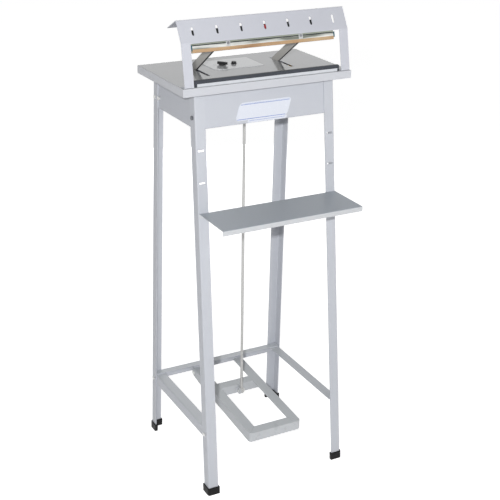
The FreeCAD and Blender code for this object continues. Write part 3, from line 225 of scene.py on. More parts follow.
# Pedal
# A frame of folded angle with mitred corners and a cross angle that carries the rod's lug, welded
# together and enamelled with the stand. Shoes have scuffed its front edge.
pedal_low, pedal_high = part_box("pedal_frame")
pedal_flange, mitre_half, mitre_start = 0.0285, 0.0005, 0.004
scuff_start, scuff_end, scuff_fade = -0.001, 0.045, 0.05
tread = Finish("pedal_enamel")
tread_drift = tread.noise(6, 4)
from_front = tread.axis("Y") - pedal_low.y
from_side = pedal_high.x - abs(tread.axis("X"))
top_mitres_and_painted_shade = tread.facing("Z") > level_face
scuffed = from_front.within(scuff_start, scuff_end) * (1 - from_front / scuff_fade)
scuffs = (tread.noise(90, 6, (1, 0.25, 1)) > 0.62) * scuffed
mitres = (abs(from_front - from_side) < mitre_half) * from_front.within(mitre_start, pedal_flange) * top_mitres_and_painted_shade
# The top is given a slightly different tone from the sides as painted shade; the same top mask also keeps the
# mitre lines on the top.
tread_shade = tread.mix(tread.mix(paint("bec1c5"), paint("cbced1"), tread_drift),
                        tread.mix(paint("bdc1c5"), paint("c8ccce"), tread_drift), top_mitres_and_painted_shade)
dress(tread.surface({
    "Base Color": tread.mix(tread_shade, paint("84888b"), scuffs * 0.14 + mitres * 0.5),
    "Roughness": tread_drift * 0.14 + scuffs * 0.2 + 0.3,
    "Specular IOR Level": 0.45,
    "Normal": tread.bump(tread.noise(650, 2) - mitres * 3, 0.0001),
}), "pedal_frame", "pedal_lugs")

# Pedal welds
# Fillet welds join the cross angle to the side webs, the rod's lug to the cross angle and the hinge
# lugs to the crossbar. Each was laid in one pass, which leaves small ripples, and was painted over.
bead_radius, bead_ripple, bead_swell = 0.0011, 0.0008, 1.22


def joint_place(name):
    """A point on a joint's axis."""
    return Vector(next(joint["pos_m"] for joint in frame["joints"] if joint["name"] == name))


def finish_shell():
    """Turn every face of the edited piece outwards and leave its edit mode."""
    bpy.ops.mesh.select_all(action="SELECT")
    bpy.ops.mesh.normals_make_consistent(inside=False)
    bpy.ops.object.mode_set(mode="OBJECT")


def weld_bead(name, start, end, body):
    """A row of ripples from one end of a joint to the other."""
    run = end - start
    ripples = 2 * round(run.length / bead_ripple / 2)
    bpy.ops.object.select_all(action="DESELECT")
    bpy.ops.mesh.primitive_circle_add(vertices=10, radius=bead_radius / bead_swell, fill_type="NGON")
    bead = bpy.context.object
    bead.name = name
    bpy.ops.object.mode_set(mode="EDIT")
    for step in range(1, ripples + 1):
        swell = bead_swell if step % 2 else 1 / bead_swell
        height = run.length * step / ripples
        bpy.ops.mesh.extrude_region_move(TRANSFORM_OT_translate={"value": (0, 0, run.length / ripples)})
        bpy.ops.transform.resize(value=(swell, swell, 1), center_override=(0, 0, height))
    finish_shell()
    bead.data.transform(Matrix.Translation(start) @ run.to_track_quat("Z", "Y").to_matrix().to_4x4())
    bpy.ops.object.shade_smooth_by_angle(angle=radians(75))
    bead.data.materials.append(stand_enamel)
    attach(bead, body)


hinge, pedal_droop = joint_place("pedal_hinge"), radians(4)
droop = Matrix.Translation(hinge) @ Matrix.Rotation(pedal_droop, 4, "X") @ Matrix.Translation(-hinge)
cross_face, web_inside, cross_low, cross_high = 0.07696, 0.079, 0.1528, 0.1766
lug_face, lug_wall, lug_low, lug_high = -0.0005, 0.004, 0.1572, 0.1726
for name, bead_x, bead_low, bead_high in (
        ("cross_left_weld", -web_inside, cross_low, cross_high),
        ("cross_right_weld", web_inside, cross_low, cross_high),
        ("rod_lug_left_weld", lug_face, lug_low, lug_high),
        ("rod_lug_right_weld", lug_face + lug_wall, lug_low, lug_high)):
    foot, head = Vector((bead_x, cross_face, bead_low)), Vector((bead_x, cross_face, bead_high))
    weld_bead(name, droop @ foot, droop @ head, "pedal")

hinge_lug_x, hinge_lug_wall = 0.0745, 0.004
web_foot, web_head = Vector((0, 0.2210, 0.1688)), Vector((0, 0.2206, 0.1756))
for side, sign in (("left", -1), ("right", 1)):
    for face, reach in (("inner", hinge_lug_x), ("outer", hinge_lug_x + hinge_lug_wall)):
        sideways = Vector((sign * reach, 0, 0))
        weld_bead(side + "_lug_" + face + "_weld", web_foot + sideways, web_head + sideways, "stand")

# Cabinet
# Four walls of thin sheet between the legs, under the table, folded in at the bottom. They are
# enamelled with the stand and bolted through the legs' side flanges.
dress(grey_enamel("cabinet_enamel", ("bdc0c8", "c8cbd2"), ("b9bcc1", "c4c7cb"), 0.32),
      "front_apron", "rear_apron", "left_apron", "right_apron")

# Cabinet bolts
# Round-headed zinc-plated bolts hold the side walls to the legs and to the shaft's brackets. The
# front pair is painted dark grey as painted shade.
front_end = -0.05
bolt_zinc = Finish("bolt_zinc")
bolt_rub = bolt_zinc.noise(300, 3)
# The front pair's dark grey is painted shade.
front_bolts_painted_shade = bolt_zinc.axis("Y") < front_end
dress(bolt_zinc.surface({
    "Base Color": bolt_zinc.mix(bolt_zinc.mix(paint("cfd0cf"), paint("e8e8e6"), bolt_rub),
                                bolt_zinc.mix(paint("5c5e63"), paint("808287"), bolt_rub), front_bolts_painted_shade),
    "Metallic": 0.6,
    "Roughness": bolt_rub * 0.2 + 0.28,
    "Normal": bolt_zinc.bump(bolt_rub, 0.00005),
}), "cabinet_bolts")

# Front plate
# A thin printed plate with a slanted outline and rounded corners, stuck on the front wall, with a
# narrow strip below it. Both carry only plain rules along their edges.
lean_run, lean_rise = 0.1005, 1.1315
wall_lean = lean_run / lean_rise
wall_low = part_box("front_apron")[0]
plate_middle, strip_middle = Vector((-0.0062, 0, 1.0508)), Vector((0.0035, 0, 1.0246))
plate_width, plate_height, plate_slant, plate_corner = 0.1495, 0.0456, 0.0155, 0.010
strip_width, strip_height, strip_corner = 0.1135, 0.0086, 0.0035
plate_wall, strip_wall, glue_sink = 0.0008, 0.00072, 0.0001


def slanted_plate(name, middle, width, height, corner, wall):
    """A flat plate on the front wall: an oblong pushed over sideways, its corners rounded."""
    slant = plate_slant * height / plate_height
    bpy.ops.object.select_all(action="DESELECT")
    bpy.ops.mesh.primitive_plane_add(size=1)
    plate = bpy.context.object
    plate.name = name
    bpy.ops.object.mode_set(mode="EDIT")
    bpy.ops.transform.resize(value=(width, height, 1), center_override=(0, 0, 0))
    bpy.ops.mesh.select_mode(type="VERT")
    sketch = bmesh.from_edit_mesh(plate.data)
    for point in sketch.verts:
        point.select = point.co.y > 0
    sketch.select_flush_mode()
    bmesh.update_edit_mesh(plate.data)
    bpy.ops.transform.translate(value=(slant, 0, 0))
    bpy.ops.mesh.select_all(action="SELECT")
    bpy.ops.transform.translate(value=(-slant / 2, 0, 0))
    bpy.ops.mesh.bevel(offset=corner, segments=6, affect="VERTICES")
    bpy.ops.mesh.select_all(action="SELECT")
    bpy.ops.mesh.extrude_region_move(TRANSFORM_OT_translate={"value": (0, 0, wall)})
    finish_shell()
    wall_face = wall_low.y + (middle.z - wall_low.z) * wall_lean
    upright = Matrix.Rotation(pi / 2 - wall_lean, 4, "X")
    plate.data.transform(Matrix.Translation((middle.x, wall_face - glue_sink, middle.z)) @ upright)
    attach(plate, "stand")
    return plate


plate_print = Finish("plate_print")
rise = plate_print.axis("Z") - plate_middle.z
slid = plate_print.axis("X") - plate_middle.x - rise * (plate_slant / plate_height)
rules = 0
for rule_low, rule_high, rule_left, rule_right in (
        (0.0166, 0.0178, -0.0705, 0.0700),
        (0.0190, 0.0194, -0.0600, 0.0700),
        (-0.0203, -0.0189, -0.0705, 0.0690),
        (-0.0254, -0.0246, -0.0340, 0.0690)):
    rules = rules + rise.within(rule_low, rule_high) * slid.within(rule_left, rule_right)
haze = plate_print.noise(160, 3)
plate_film = plate_print.mix(paint("e2e5ee"), paint("d8dde8"), haze)
plate_finish = plate_print.surface({
    "Base Color": plate_print.mix(plate_film, paint("3f66bd"), rules * 0.9),
    "Roughness": haze * 0.12 + 0.2,
    "Coat Weight": 0.3,
    "Normal": plate_print.bump(haze, 0.00004),
})
for plate in (
        slanted_plate("front_plate", plate_middle, plate_width, plate_height, plate_corner, plate_wall),
        slanted_plate("front_strip", strip_middle, strip_width, strip_height, strip_corner, strip_wall)):
    plate.data.materials.append(plate_finish)

# Tray and transformer
# A small transformer feeds the heating ribbon: varnished laminations round a taped winding, held
# by a strap on a folded tray. Both are zinc-plated, and so are the pins and the other screws.
zinc = Finish("zinc_plate")
spangle = zinc.add("ShaderNodeTexVoronoi", {}, {"Vector": zinc.place(), "Scale": 260}, "Distance")
rub = zinc.noise(30, 4)
zinc_plate = zinc.surface({
    "Base Color": zinc.mix(paint("cfd0cf"), paint("e8e8e6"), spangle * 0.6 + rub * 0.4),
    "Metallic": 0.6,
    "Roughness": rub * 0.2 + 0.28,
    "Normal": zinc.bump(spangle, 0.00005),
})
dress(zinc_plate, "tray", "transformer_clamp", "spring_bridge", "lever_pin", "rod_collar", "pedal_pins",
      "brace_bolts", "table_screws", "panel_screws", "jaw_screws")

iron = Finish("laminations")
stack = iron.axis("Y").wave(0.001)
dress(iron.surface({
    "Base Color": iron.mix(paint("26282b"), paint("4a4d50"), stack * 0.7 + iron.noise(40, 3) * 0.3),
    "Metallic": 0.6,
    "Roughness": stack * 0.2 + 0.4,
    "Normal": iron.bump(stack, 0.0002),
}), "transformer_core")

winding = Finish("winding_tape")
lap = winding.axis("Z").wave(0.006)
dress(winding.surface({
    "Base Color": winding.mix(paint("c79a2c"), paint("e0bb52"), lap * 0.6 + winding.noise(60, 3) * 0.4),
    "Roughness": lap * 0.15 + 0.25,
    "Normal": winding.bump(lap, 0.0003),
}), "transformer_coil")

# Timer board
# A green glass-fibre circuit board on nylon posts, with a terminal strip, a relay and a capacitor
# soldered to it.
board_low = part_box("timer_board")[0]
post_height, board_wall, strip_depth, relay_left, seam = 0.008, 0.0016, 0.012, 0.033, 0.0002
board = Finish("timer_board_finish")
board_x, board_y, board_z = board.axis("X"), board.axis("Y"), board.axis("Z")
tracks = board.add("ShaderNodeTexBrick", {},
                   {"Vector": board.place(), "Scale": 150, "Mortar Size": 0.02}, "Fac")
pads = board.add("ShaderNodeTexVoronoi", {}, {"Vector": board.place(), "Scale": 320}, "Distance") < 0.25
green = board.mix(board.mix(paint("1b5a2e"), paint("2f7a44"), tracks), paint("c3c1a8"), pads)
above = board_z > board_low.z + post_height + board_wall + seam
posts = board_z < board_low.z + post_height - seam
fitted = board.mix(board.mix(paint("23262b"), paint("1c3f7a"), board_x > board_low.x + relay_left),
                   paint("2e8a4e"), board_y < board_low.y + strip_depth)
dress(board.surface({
    "Base Color": board.mix(board.mix(green, fitted, above), paint("d9d7cd"), posts),
    "Roughness": board.noise(300, 2) * 0.15 + 0.28,
    "Normal": board.bump(tracks + pads, 0.00008),
}), "timer_board")

# Limit switch and cable gland
# A small moulded switch on the bridge strip, tripped by the rod lever, and a nylon gland with a
# domed nut, held in the rear wall by its lock nut.


def moulded(name, low, high, gloss):
    """Moulded plastic with a fine spark-eroded grain."""
    plastic = Finish(name)
    texture = plastic.noise(1500, 2)
    return plastic.surface({
        "Base Color": plastic.mix(paint(low), paint(high), plastic.noise(25, 3)),
        "Roughness": texture * 0.14 + gloss,
        "Normal": plastic.bump(texture, 0.00008),
    })


dress(moulded("switch_plastic", "17181b", "222327", 0.3), "limit_switch")
dress(moulded("gland_nylon", "3a3c3f", "4a4c50", 0.38), "cable_gland")

# Rocker shaft
# A round shaft under the table turns in two bronze bushes, in brackets bolted to the side walls. A
# flat lever is keyed to it. They are turned and sheared from bright steel, and are wiped with oil.
turned = Finish("turned_steel")
turning = turned.noise(900, 3, (1, 0.08, 0.08))
dress(turned.surface({
    "Base Color": turned.mix(paint("8f8e8c"), paint("bab9b6"), turned.noise(18, 5) * 0.6 + turning * 0.4),
    "Metallic": 0.9,
    "Roughness": turning * 0.2 + 0.28,
    "Normal": turned.bump(turning, 0.00008),
}), "rocker_shaft", "rod_lever", "left_shaft_bracket", "right_shaft_bracket", "switch_lever", "timer_pot")

bronze = Finish("bush_bronze")
lathe_marks = bronze.noise(900, 2, (1, 0.1, 0.1))
dress(bronze.surface({
    "Base Color": bronze.mix(paint("a9823c"), paint("c9a255"), lathe_marks),
    "Metallic": 1,
    "Roughness": lathe_marks * 0.2 + 0.28,
    "Normal": bronze.bump(lathe_marks, 0.00005),
}), "shaft_bushes")

# Pull rod
# A bright drawn bar with a drilled eye at each end. It is threaded below its upper eye for the
# flanged nut that sits on the return spring.
rod_metal = Finish("rod_metal")
nut_low, nut_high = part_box("rod_collar")
thread_pitch, thread_below, thread_above = 0.00125, 0.012, 0.008
drawn = rod_metal.noise(500, 3, (1, 1, 0.03))
rod_height = rod_metal.axis("Z")
threaded = rod_height.within(nut_low.z - thread_below, nut_high.z + thread_above)
thread = rod_height.wave(thread_pitch) * threaded
dress(rod_metal.surface({
    "Base Color": rod_metal.mix(paint("b2b2b1"), paint("c8c8c6"), drawn),
    "Metallic": 0.4,
    "Roughness": drawn * 0.2 + 0.3,
    "Normal": rod_metal.bump(drawn * 0.1 + thread, 0.0004),
}), "pull_rod")

# Return spring
# Round spring wire wound round the rod in six open turns. It stands on the bridge strip. On the
# sealer the rod's nut squeezes it as the pedal goes down; here it is wound once at one length.
spring_low, spring_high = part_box("return_spring")
spring_middle = (spring_low + spring_high) / 2
wire, turns, turn_steps, pedal_travel = 0.002, 6, 36, 0.0243
spring_radius = (spring_high.x - spring_low.x - wire) / 2
bpy.ops.object.select_all(action="DESELECT")
bpy.ops.mesh.primitive_circle_add(vertices=10, radius=wire / 2)
spring = bpy.context.object
spring.name = "return_spring_wire"
spring.data.transform(Matrix.Translation((spring_radius, 0, 0)) @ Matrix.Rotation(pi / 2, 4, "X"))
winder = spring.modifiers.new("winder", "SCREW")
winder.angle = 2 * pi * turns
winder.screw_offset = spring_high.z - spring_low.z - wire
winder.steps = winder.render_steps = turn_steps * turns
winder.use_merge_vertices = False
bpy.ops.object.modifier_apply(modifier="winder")
bpy.ops.object.mode_set(mode="EDIT")
bpy.ops.mesh.select_mode(type="EDGE")
bpy.ops.mesh.select_all(action="DESELECT")
bpy.ops.mesh.select_non_manifold()
bpy.ops.mesh.edge_face_add()
finish_shell()
spring.data.transform(Matrix.Translation((spring_middle.x, spring_middle.y, spring_low.z + wire / 2)))
bpy.ops.object.shade_smooth_by_angle(angle=radians(50))
spring.data.materials.append(zinc_plate)
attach(spring, "stand")
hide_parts("return_spring")
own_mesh(spring)

# Table
# A sheet pan folded down on all four sides, with two long slots for the jaw's arms. Its top is
# painted darker than its sides as painted shade, and is glossier, with wiping marks, and mirrors the arms and
# the guard softly.
table = Finish("table_enamel")
table_drift = table.noise(5, 4)
wiping = table.noise(60, 6, (0.2, 1, 1))
top_gloss_and_painted_shade = table.facing("Z") > level_face
# The darker colour on top is painted shade; the glossier top and its coat are the enamel's own.
dress(table.surface({
    "Base Color": table.mix(table.mix(paint("c2c4ca"), paint("ced0d6"), table_drift),
                            table.mix(paint("989b9e"), paint("a2a5a8"), table_drift), top_gloss_and_painted_shade),
    "Roughness": (wiping * 0.14 + 0.08) * top_gloss_and_painted_shade + (1 - top_gloss_and_painted_shade) * 0.32,
    "Coat Weight": top_gloss_and_painted_shade * 0.3,
    "Coat Roughness": 0.06,
    "Normal": table.bump(table.noise(600, 2), 0.00005),
}), "table_top")

# Control plate
# A plate of pale lacquered aluminium on the table, held by the timer's bush and the fuse holder.
# A dial of fine ticks with plain numbers is printed round the knob.
knob_axis = joint_place("timer_knob_turn")
control_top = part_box("control_plate")[1].z
dial_start, dial_step, dial_count = radians(-50), radians(-27), 11
tick_half, tick_start, tick_end = 0.00022, 0.0165, 0.0195
panel = Finish("control_plate_lacquer")
aside, behind = panel.axis("X") - knob_axis.x, panel.axis("Y") - knob_axis.y
reach = (aside * aside + behind * behind).maths("SQRT")
brushing = panel.noise(500, 3, (0.02, 1, 1))
ticks = 0
for number in range(dial_count):
    bearing = dial_start + dial_step * number
    along = aside * cos(bearing) + behind * sin(bearing)
    across = abs(behind * cos(bearing) - aside * sin(bearing))
    ticks = ticks + (across < tick_half) * (along > 0)
lacquer = panel.mix(paint("c8cacd"), paint("d6d8da"), panel.noise(30, 3) * 0.6 + brushing * 0.4)
dress(panel.surface({
    "Base Color": panel.mix(lacquer, paint("1d1e20"), ticks * reach.within(tick_start, tick_end)),
    "Metallic": 0.1,
    "Roughness": brushing * 0.14 + 0.12,
    "Coat Weight": 0.4,
    "Coat Roughness": 0.06,
    "Normal": panel.bump(brushing, 0.00003),
}), "control_plate")

dial_ink = Finish("dial_ink")
ink_wear = dial_ink.noise(900, 3)
dial_ink_finish = dial_ink.surface({
    "Base Color": dial_ink.mix(paint("1d1e20"), paint("35373a"), ink_wear),
    "Roughness": ink_wear * 0.2 + 0.4,
    "Normal": dial_ink.bump(ink_wear, 0.00002),
})
number_radius, number_size, ink_wall = 0.0232, 0.0046, 0.00004
number_meshes = []
for number in range(dial_count):
    bearing = dial_start + dial_step * number
    bpy.ops.object.select_all(action="DESELECT")
    bpy.ops.object.text_add()
    figure = bpy.context.object
    figure.data.body = str(number)
    figure.data.size = number_size
    figure.data.align_x = figure.data.align_y = "CENTER"
    figure.data.extrude = ink_wall / 2
    figure.data.resolution_u = 4
    bpy.ops.object.convert(target="MESH")
    figure = bpy.context.object
    place = knob_axis + Vector((cos(bearing), sin(bearing), 0)) * number_radius
    figure.data.transform(Matrix.Translation((place.x, place.y, control_top + ink_wall / 2)))
    number_meshes.append(figure)
bpy.ops.object.select_all(action="DESELECT")
for figure in number_meshes:
    figure.select_set(True)
bpy.context.view_layer.objects.active = number_meshes[0]
bpy.ops.object.join()
dial_numbers = bpy.context.object
dial_numbers.name = "dial_numbers"
dial_numbers.data.materials.clear()
dial_numbers.data.materials.append(dial_ink_finish)
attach(dial_numbers, "stand")

# Timer knob and fuse holder
# A black pointer knob on the timer's spindle with a white line on its narrow end, and a black
# bayonet fuse holder with a coin slot in its cap.
knob_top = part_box("timer_knob")[1].z
line_half, line_start, line_end, line_depth = 0.0005, 0.006, 0.0135, 0.0003
knob = Finish("knob_plastic")
knob_grain = knob.noise(1500, 2)
knob_aside, knob_behind = knob.axis("X") - knob_axis.x, knob.axis("Y") - knob_axis.y
down_knob = knob_aside * cos(dial_start) + knob_behind * sin(dial_start)
over_knob = abs(knob_behind * cos(dial_start) - knob_aside * sin(dial_start))
on_crown = knob.axis("Z") > knob_top - line_depth
pointer = (over_knob < line_half) * down_knob.within(line_start, line_end) * on_crown
knob_black = knob.mix(paint("111113"), paint("1b1b1e"), knob.noise(40, 3))
dress(knob.surface({
    "Base Color": knob.mix(knob_black, paint("efefec"), pointer),
    "Roughness": knob_grain * 0.15 + 0.3,
    "Normal": knob.bump(knob_grain, 0.00008),
}), "timer_knob")
dress(moulded("fuse_plastic", "121214", "1c1c1f", 0.22), "fuse_holder", "fuse_cap")

# Anvil
# An extruded aluminium bar screwed along the table's front edge. A strip of black silicone rubber
# lies on it and is turned down over both ends.
anvil_metal = Finish("anvil_metal")
die_lines = anvil_metal.noise(900, 3, (0.01, 1, 1))
anvil_tone = die_lines * 0.7 + anvil_metal.noise(14, 3) * 0.3
dress(anvil_metal.surface({
    "Base Color": anvil_metal.mix(paint("c4c7cd"), paint("d6d9de"), anvil_tone),
    "Metallic": 0.2,
    "Roughness": die_lines * 0.2 + 0.3,
    "Normal": anvil_metal.bump(die_lines, 0.00008),
}), "anvil_bar")

rubber = Finish("silicone_rubber")
rubber_grain = rubber.noise(1100, 4)
dress(rubber.surface({
    "Base Color": rubber.mix(paint("22252b"), paint("383d47"), rubber.noise(35, 5, (0.4, 1, 1))),
    "Roughness": rubber_grain * 0.25 + 0.45,
    "Normal": rubber.bump(rubber_grain, 0.00025),
}), "anvil_rubber")

# Jaw arms
# Two flat steel bars keyed to the shaft, which come up through the table's slots and carry the
# jaw. Their sheared faces are brushed pale, and their narrow edges are painted near black as painted shade.
arm_steel = Finish("arm_steel")
arm_lines = arm_steel.noise(700, 3, (1, 0.06, 0.06))
arm_edge_painted_shade = abs(arm_steel.facing("X")) < 0.5
arm_face = arm_steel.mix(paint("aaa8a4"), paint("c6c4bf"), arm_steel.noise(18, 5) * 0.6 + arm_lines * 0.4)
# The near-black edges are painted shade.
dress(arm_steel.surface({
    "Base Color": arm_steel.mix(arm_face, paint("2c2b2b"), arm_edge_painted_shade * 0.9),
    "Metallic": 0.3,
    "Roughness": arm_lines * 0.2 + 0.34,
    "Normal": arm_steel.bump(arm_lines, 0.00006),
}), "left_jaw_arm", "right_jaw_arm")

# Jaw bar
# A grooved aluminium section, bright from the die below its groove. The groove is painted dark as painted
# shade, and the band above it is a greenish grey whose darkness is painted shade under the guard. A steel
# stiffener is screwed on behind, painted near black as painted shade.
jaw_swing = radians(16)
jaw_foot = Vector((0, -0.06864, 1.21113))
jaw_up = Vector((0, sin(jaw_swing), cos(jaw_swing)))
jaw_front = Vector((0, -cos(jaw_swing), sin(jaw_swing)))
groove_low, groove_high = 0.016, 0.0185
jaw_metal = Finish("jaw_metal")
jaw_height = jaw_metal.axis("Y") * jaw_up.y + jaw_metal.axis("Z") * jaw_up.z - jaw_foot.dot(jaw_up)
jaw_lines = jaw_metal.noise(1200, 3, (0.008, 1, 1))
smears = jaw_metal.noise(26, 5, (0.25, 3, 3))
stains = jaw_metal.ramp(smears, (0.36, paint("73776f")), (0.47, paint("c4c6c1")), (0.62, paint("ececea")))
above_groove_painted_shade = jaw_metal.mix(paint("949c8e"), paint("b3b9aa"), smears)
# The groove's dark colour is painted shade, and so is the darkness of the greenish band above it.
dress(jaw_metal.surface({
    "Base Color": jaw_metal.mix(jaw_metal.mix(stains, above_groove_painted_shade, jaw_height > groove_high), paint("3c4140"),
                                jaw_height.within(groove_low, groove_high)),
    "Metallic": 0.5,
    "Roughness": jaw_lines * 0.18 + 0.22,
    "Normal": jaw_metal.bump(jaw_lines, 0.0001),
}), "jaw_bar")

# The stiffener's near-black colour is painted shade under the guard.
stiffener_painted_shade = Finish("stiffener_painted_shade_steel")
soot = stiffener_painted_shade.noise(40, 5)
dress(stiffener_painted_shade.surface({
    "Base Color": stiffener_painted_shade.mix(paint("17181a"), paint("2c2e30"), soot),
    "Roughness": soot * 0.25 + 0.4,
    "Normal": stiffener_painted_shade.bump(stiffener_painted_shade.noise(800, 2), 0.00015),
}), "jaw_stiffener")

# Jaw clips
# Two small folded clips of plated steel bridge the bar's groove beside the arms, each held by a
# round-headed screw. They keep the tape's upper edge down.
clip_x, clip_width, clip_low, clip_high = 0.103, 0.012, 0.0085, 0.0235
clip_wall, clip_edge, clip_lip, clip_dip = 0.0012, 0.0005, 0.0008, 0.0002
screw_radius, screw_head, screw_round = 0.0034, 0.0018, 0.00081
screw_rim, screw_sink = 0.0004, 0.0001
slot_half, slot_depth, slot_turn = 0.00045, 0.0009, radians(35)
on_jaw = Matrix((
    (1, 0, 0, 0),
    (0, jaw_up.y, jaw_front.y, jaw_foot.y),
    (0, jaw_up.z, jaw_front.z, jaw_foot.z),
    (0, 0, 0, 1)))


def heated_zinc(name, low, high):
    """Zinc plating that the jaw's heat has dulled; the screws' darker tones are painted shade."""
    plating = Finish(name)
    heat = plating.noise(420, 3)
    return plating.surface({
        "Base Color": plating.mix(paint(low), paint(high), heat),
        "Metallic": 0.5,
        "Roughness": heat * 0.2 + 0.32,
        "Normal": plating.bump(heat, 0.00008),
    })


def choose_faces(piece, wanted):
    """Select the faces whose middle and direction pass a test."""
    bpy.ops.mesh.select_mode(type="FACE")
    bpy.ops.mesh.select_all(action="DESELECT")
    sketch = bmesh.from_edit_mesh(piece.data)
    for face in sketch.faces:
        if wanted(face.calc_center_median(), face.normal):
            face.select_set(True)
    bmesh.update_edit_mesh(piece.data)


bpy.ops.object.select_all(action="DESELECT")
bpy.ops.mesh.primitive_cube_add(size=1)
clip = bpy.context.object
clip.name = "left_jaw_clip"
bpy.ops.object.mode_set(mode="EDIT")
bpy.ops.transform.resize(value=(clip_width, clip_high - clip_low, clip_wall), center_override=(0, 0, 0))
bpy.ops.mesh.bevel(offset=clip_edge, segments=2, affect="EDGES")
choose_faces(clip, lambda middle, normal: normal.y > 0.9)
bpy.ops.mesh.extrude_region_move(TRANSFORM_OT_translate={"value": (0, clip_lip, -clip_dip)})
finish_shell()
clip_middle = (clip_low + clip_high) / 2
clip.data.transform(Matrix.Translation((-clip_x, clip_middle, clip_wall / 2)))

bpy.ops.object.select_all(action="DESELECT")
bpy.ops.mesh.primitive_cylinder_add(vertices=24, radius=screw_radius, depth=screw_head)
clip_screw = bpy.context.object
clip_screw.name = "left_clip_screw"
bpy.ops.object.mode_set(mode="EDIT")
choose_faces(clip_screw, lambda middle, normal: normal.z > 0.9)
bpy.ops.mesh.bevel(offset=screw_round, segments=3, affect="EDGES")
choose_faces(clip_screw, lambda middle, normal: normal.z > 0.999)
bpy.ops.mesh.inset(thickness=screw_rim)
bpy.ops.mesh.bisect(plane_co=(0, slot_half, 0), plane_no=(0, 1, 0))
choose_faces(clip_screw, lambda middle, normal: normal.z > 0.999 and middle.xy.length < screw_radius * 0.6
             and middle.y < slot_half)
bpy.ops.mesh.bisect(plane_co=(0, -slot_half, 0), plane_no=(0, 1, 0))
choose_faces(clip_screw, lambda middle, normal: normal.z > 0.999 and middle.xy.length < slot_half)
bpy.ops.mesh.extrude_region_move(TRANSFORM_OT_translate={"value": (0, 0, -slot_depth)})
finish_shell()
screw_place = Matrix.Translation((-clip_x, clip_middle, clip_wall + screw_head / 2 - screw_sink))
clip_screw.data.transform(screw_place @ Matrix.Rotation(slot_turn, 4, "Z"))
bpy.ops.object.shade_smooth_by_angle(angle=radians(35))
# The screws' darker zinc tones are painted shade.
for piece, finish in ((clip, heated_zinc("clip_zinc", "a6a8aa", "d4d5d5")),
                      (clip_screw, heated_zinc("clip_screw_painted_shade", "7c7e82", "9c9ea2"))):
    piece.data.transform(on_jaw)
    piece.data.materials.append(finish)
    twin = piece.copy()
    twin.data = piece.data.copy()
    twin.name = piece.name.replace("left", "right")
    twin.data.transform(Matrix.Translation((2 * clip_x, 0, 0)))
    bpy.context.collection.objects.link(twin)
    for side_piece in (piece, twin):
        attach(side_piece, "rocker")

# Heating ribbon and tape
# A flat resistance ribbon runs along the bar's lower edge, under a band of resin-coated woven glass
# tape that the heat has browned in places.
tape = Finish("glass_tape")
thread_space = 0.0009
along_tape, across_tape = tape.axis("X"), tape.axis("Y") + tape.axis("Z")
weave = (along_tape.wave(thread_space) - 0.5) * (across_tape.wave(thread_space) - 0.5) * 2 + 0.5
browned = tape.ramp(tape.noise(28, 5, (0.35, 1, 1)),
                    (0.28, paint("9a7350")), (0.48, paint("c2a07a")), (0.72, paint("d6bb97")))
dress(tape.surface({
    "Base Color": tape.mix(browned, paint("87643f"), weave * 0.3),
    "Roughness": weave * 0.15 + 0.38,
    "Normal": tape.bump(weave, 0.00015),
}), "ptfe_tape")

ribbon = Finish("heating_ribbon_metal")
heat_tint = ribbon.noise(60, 3)
dress(ribbon.surface({
    "Base Color": ribbon.mix(paint("8b8378"), paint("b59a6c"), heat_tint),
    "Metallic": 1,
    "Roughness": heat_tint * 0.2 + 0.3,
    "Normal": ribbon.bump(heat_tint, 0.00005),
}), "heating_ribbon")
dress(moulded("terminal_plastic", "244f5a", "33666f", 0.3), "ribbon_terminals")
dress(moulded("lead_block_plastic", "a11d22", "bb2a2c", 0.25), "lead_block")

# Guard
# One folded sheet on two posts, screwed to the table's front corners. It keeps hands off the jaw,
# and its seven slots let the heat out.
dress(grey_enamel("guard_enamel", ("c2c4cd", "cdcfd7"), ("c6c8cf", "cfd1d8"), 0.34), "guard")

# Shelf
# A folded sheet whose hooks drop into the slots of the front legs. It carries the bags, and its top
# is painted darker than its sides as painted shade.
dress(grey_enamel("shelf_enamel", ("c4c7ca", "d0d2d5"), ("a2a9b1", "adb4bc"), 0.32), "shelf")

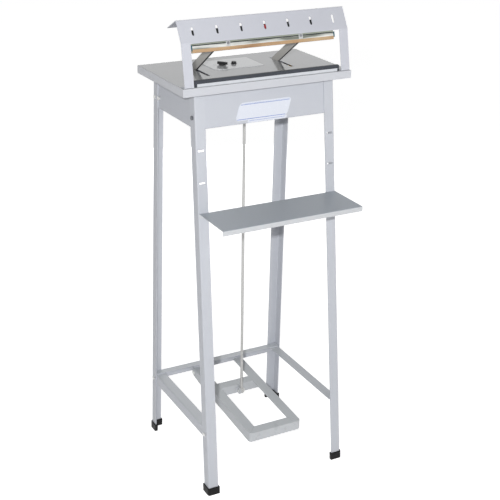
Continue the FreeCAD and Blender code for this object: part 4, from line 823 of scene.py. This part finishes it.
# Floor and light
# A plain white sweep, lit by a lamp in front and weak ones at the side and behind. What the camera
# and glossy surfaces see of it is topped up to white, so that it keeps the stand's soft shadow.
bpy.ops.object.select_all(action="DESELECT")
bpy.ops.mesh.primitive_plane_add(size=60)
floor = bpy.context.object
floor.name = "studio_floor"
floor_paper = Finish("floor_paper")
floor_level, floor_glow, air_level = 0.82, 0.78, 0.26
seen = floor_paper.add("ShaderNodeLightPath", {}, {}, "Is Camera Ray")
mirrored = floor_paper.add("ShaderNodeLightPath", {}, {}, "Is Glossy Ray")
floor.data.materials.append(floor_paper.surface({
    "Base Color": (floor_level, floor_level, floor_level, 1),
    "Roughness": 0.9,
    "Specular IOR Level": 0,
    "Emission Color": floor_paper.mix((0, 0, 0, 1), (floor_glow, floor_glow, floor_glow, 1),
                                      seen.maths("MAXIMUM", mirrored)),
    "Emission Strength": 1,
}))

world = bpy.data.worlds.new("studio")
bpy.context.scene.world = world
air = Finish("studio", world, "Background")
open_air = air.add("ShaderNodeLightPath", {}, {}, "Is Camera Ray").maths(
    "MAXIMUM", air.add("ShaderNodeLightPath", {}, {}, "Is Glossy Ray")).maths(
    "MAXIMUM", air.add("ShaderNodeLightPath", {}, {}, "Is Transmission Ray"))
air.surface({
    "Color": air.mix((air_level, air_level, air_level, 1), (1, 1, 1, 1), open_air),
    "Strength": 1,
})

lit_point = Vector((0, 0, 0.7))
for lamp_name, lamp_place, lamp_size, lamp_power in (
        ("front_lamp", Vector((-1.475, -2.48, 1.95)), 0.06, 64),
        ("side_lamp", Vector((2.0, -2.0, 1.1)), 1.6, 11),
        ("rear_lamp", Vector((0.9, 2.9, 0.6)), 1.2, 18)):
    bpy.ops.object.light_add(type="AREA", location=lamp_place)
    lamp = bpy.context.object
    lamp.name = lamp_name
    lamp.rotation_euler = (lit_point - lamp_place).to_track_quat("-Z", "Y").to_euler()
    lamp.data.size = lamp_size
    lamp.data.energy = lamp_power
bpy.context.scene.view_settings.view_transform = "Standard"

# Camera
# It stands in front of the sealer and to its left, a little above the guard, and looks down at the
# middle of the stand through a long lens.
eye = Vector((-1.2970, -2.4466, 1.7813))
turn, tilt, roll = radians(-27.89), radians(67.47), radians(0.57)
bpy.ops.object.camera_add()
camera = bpy.context.object
camera.matrix_world = (Matrix.Translation(eye) @ Matrix.Rotation(turn, 4, "Z")
                       @ Matrix.Rotation(tilt, 4, "X") @ Matrix.Rotation(roll, 4, "Z"))
camera.data.sensor_width = 36
camera.data.lens = 78.34
bpy.context.scene.camera = camera
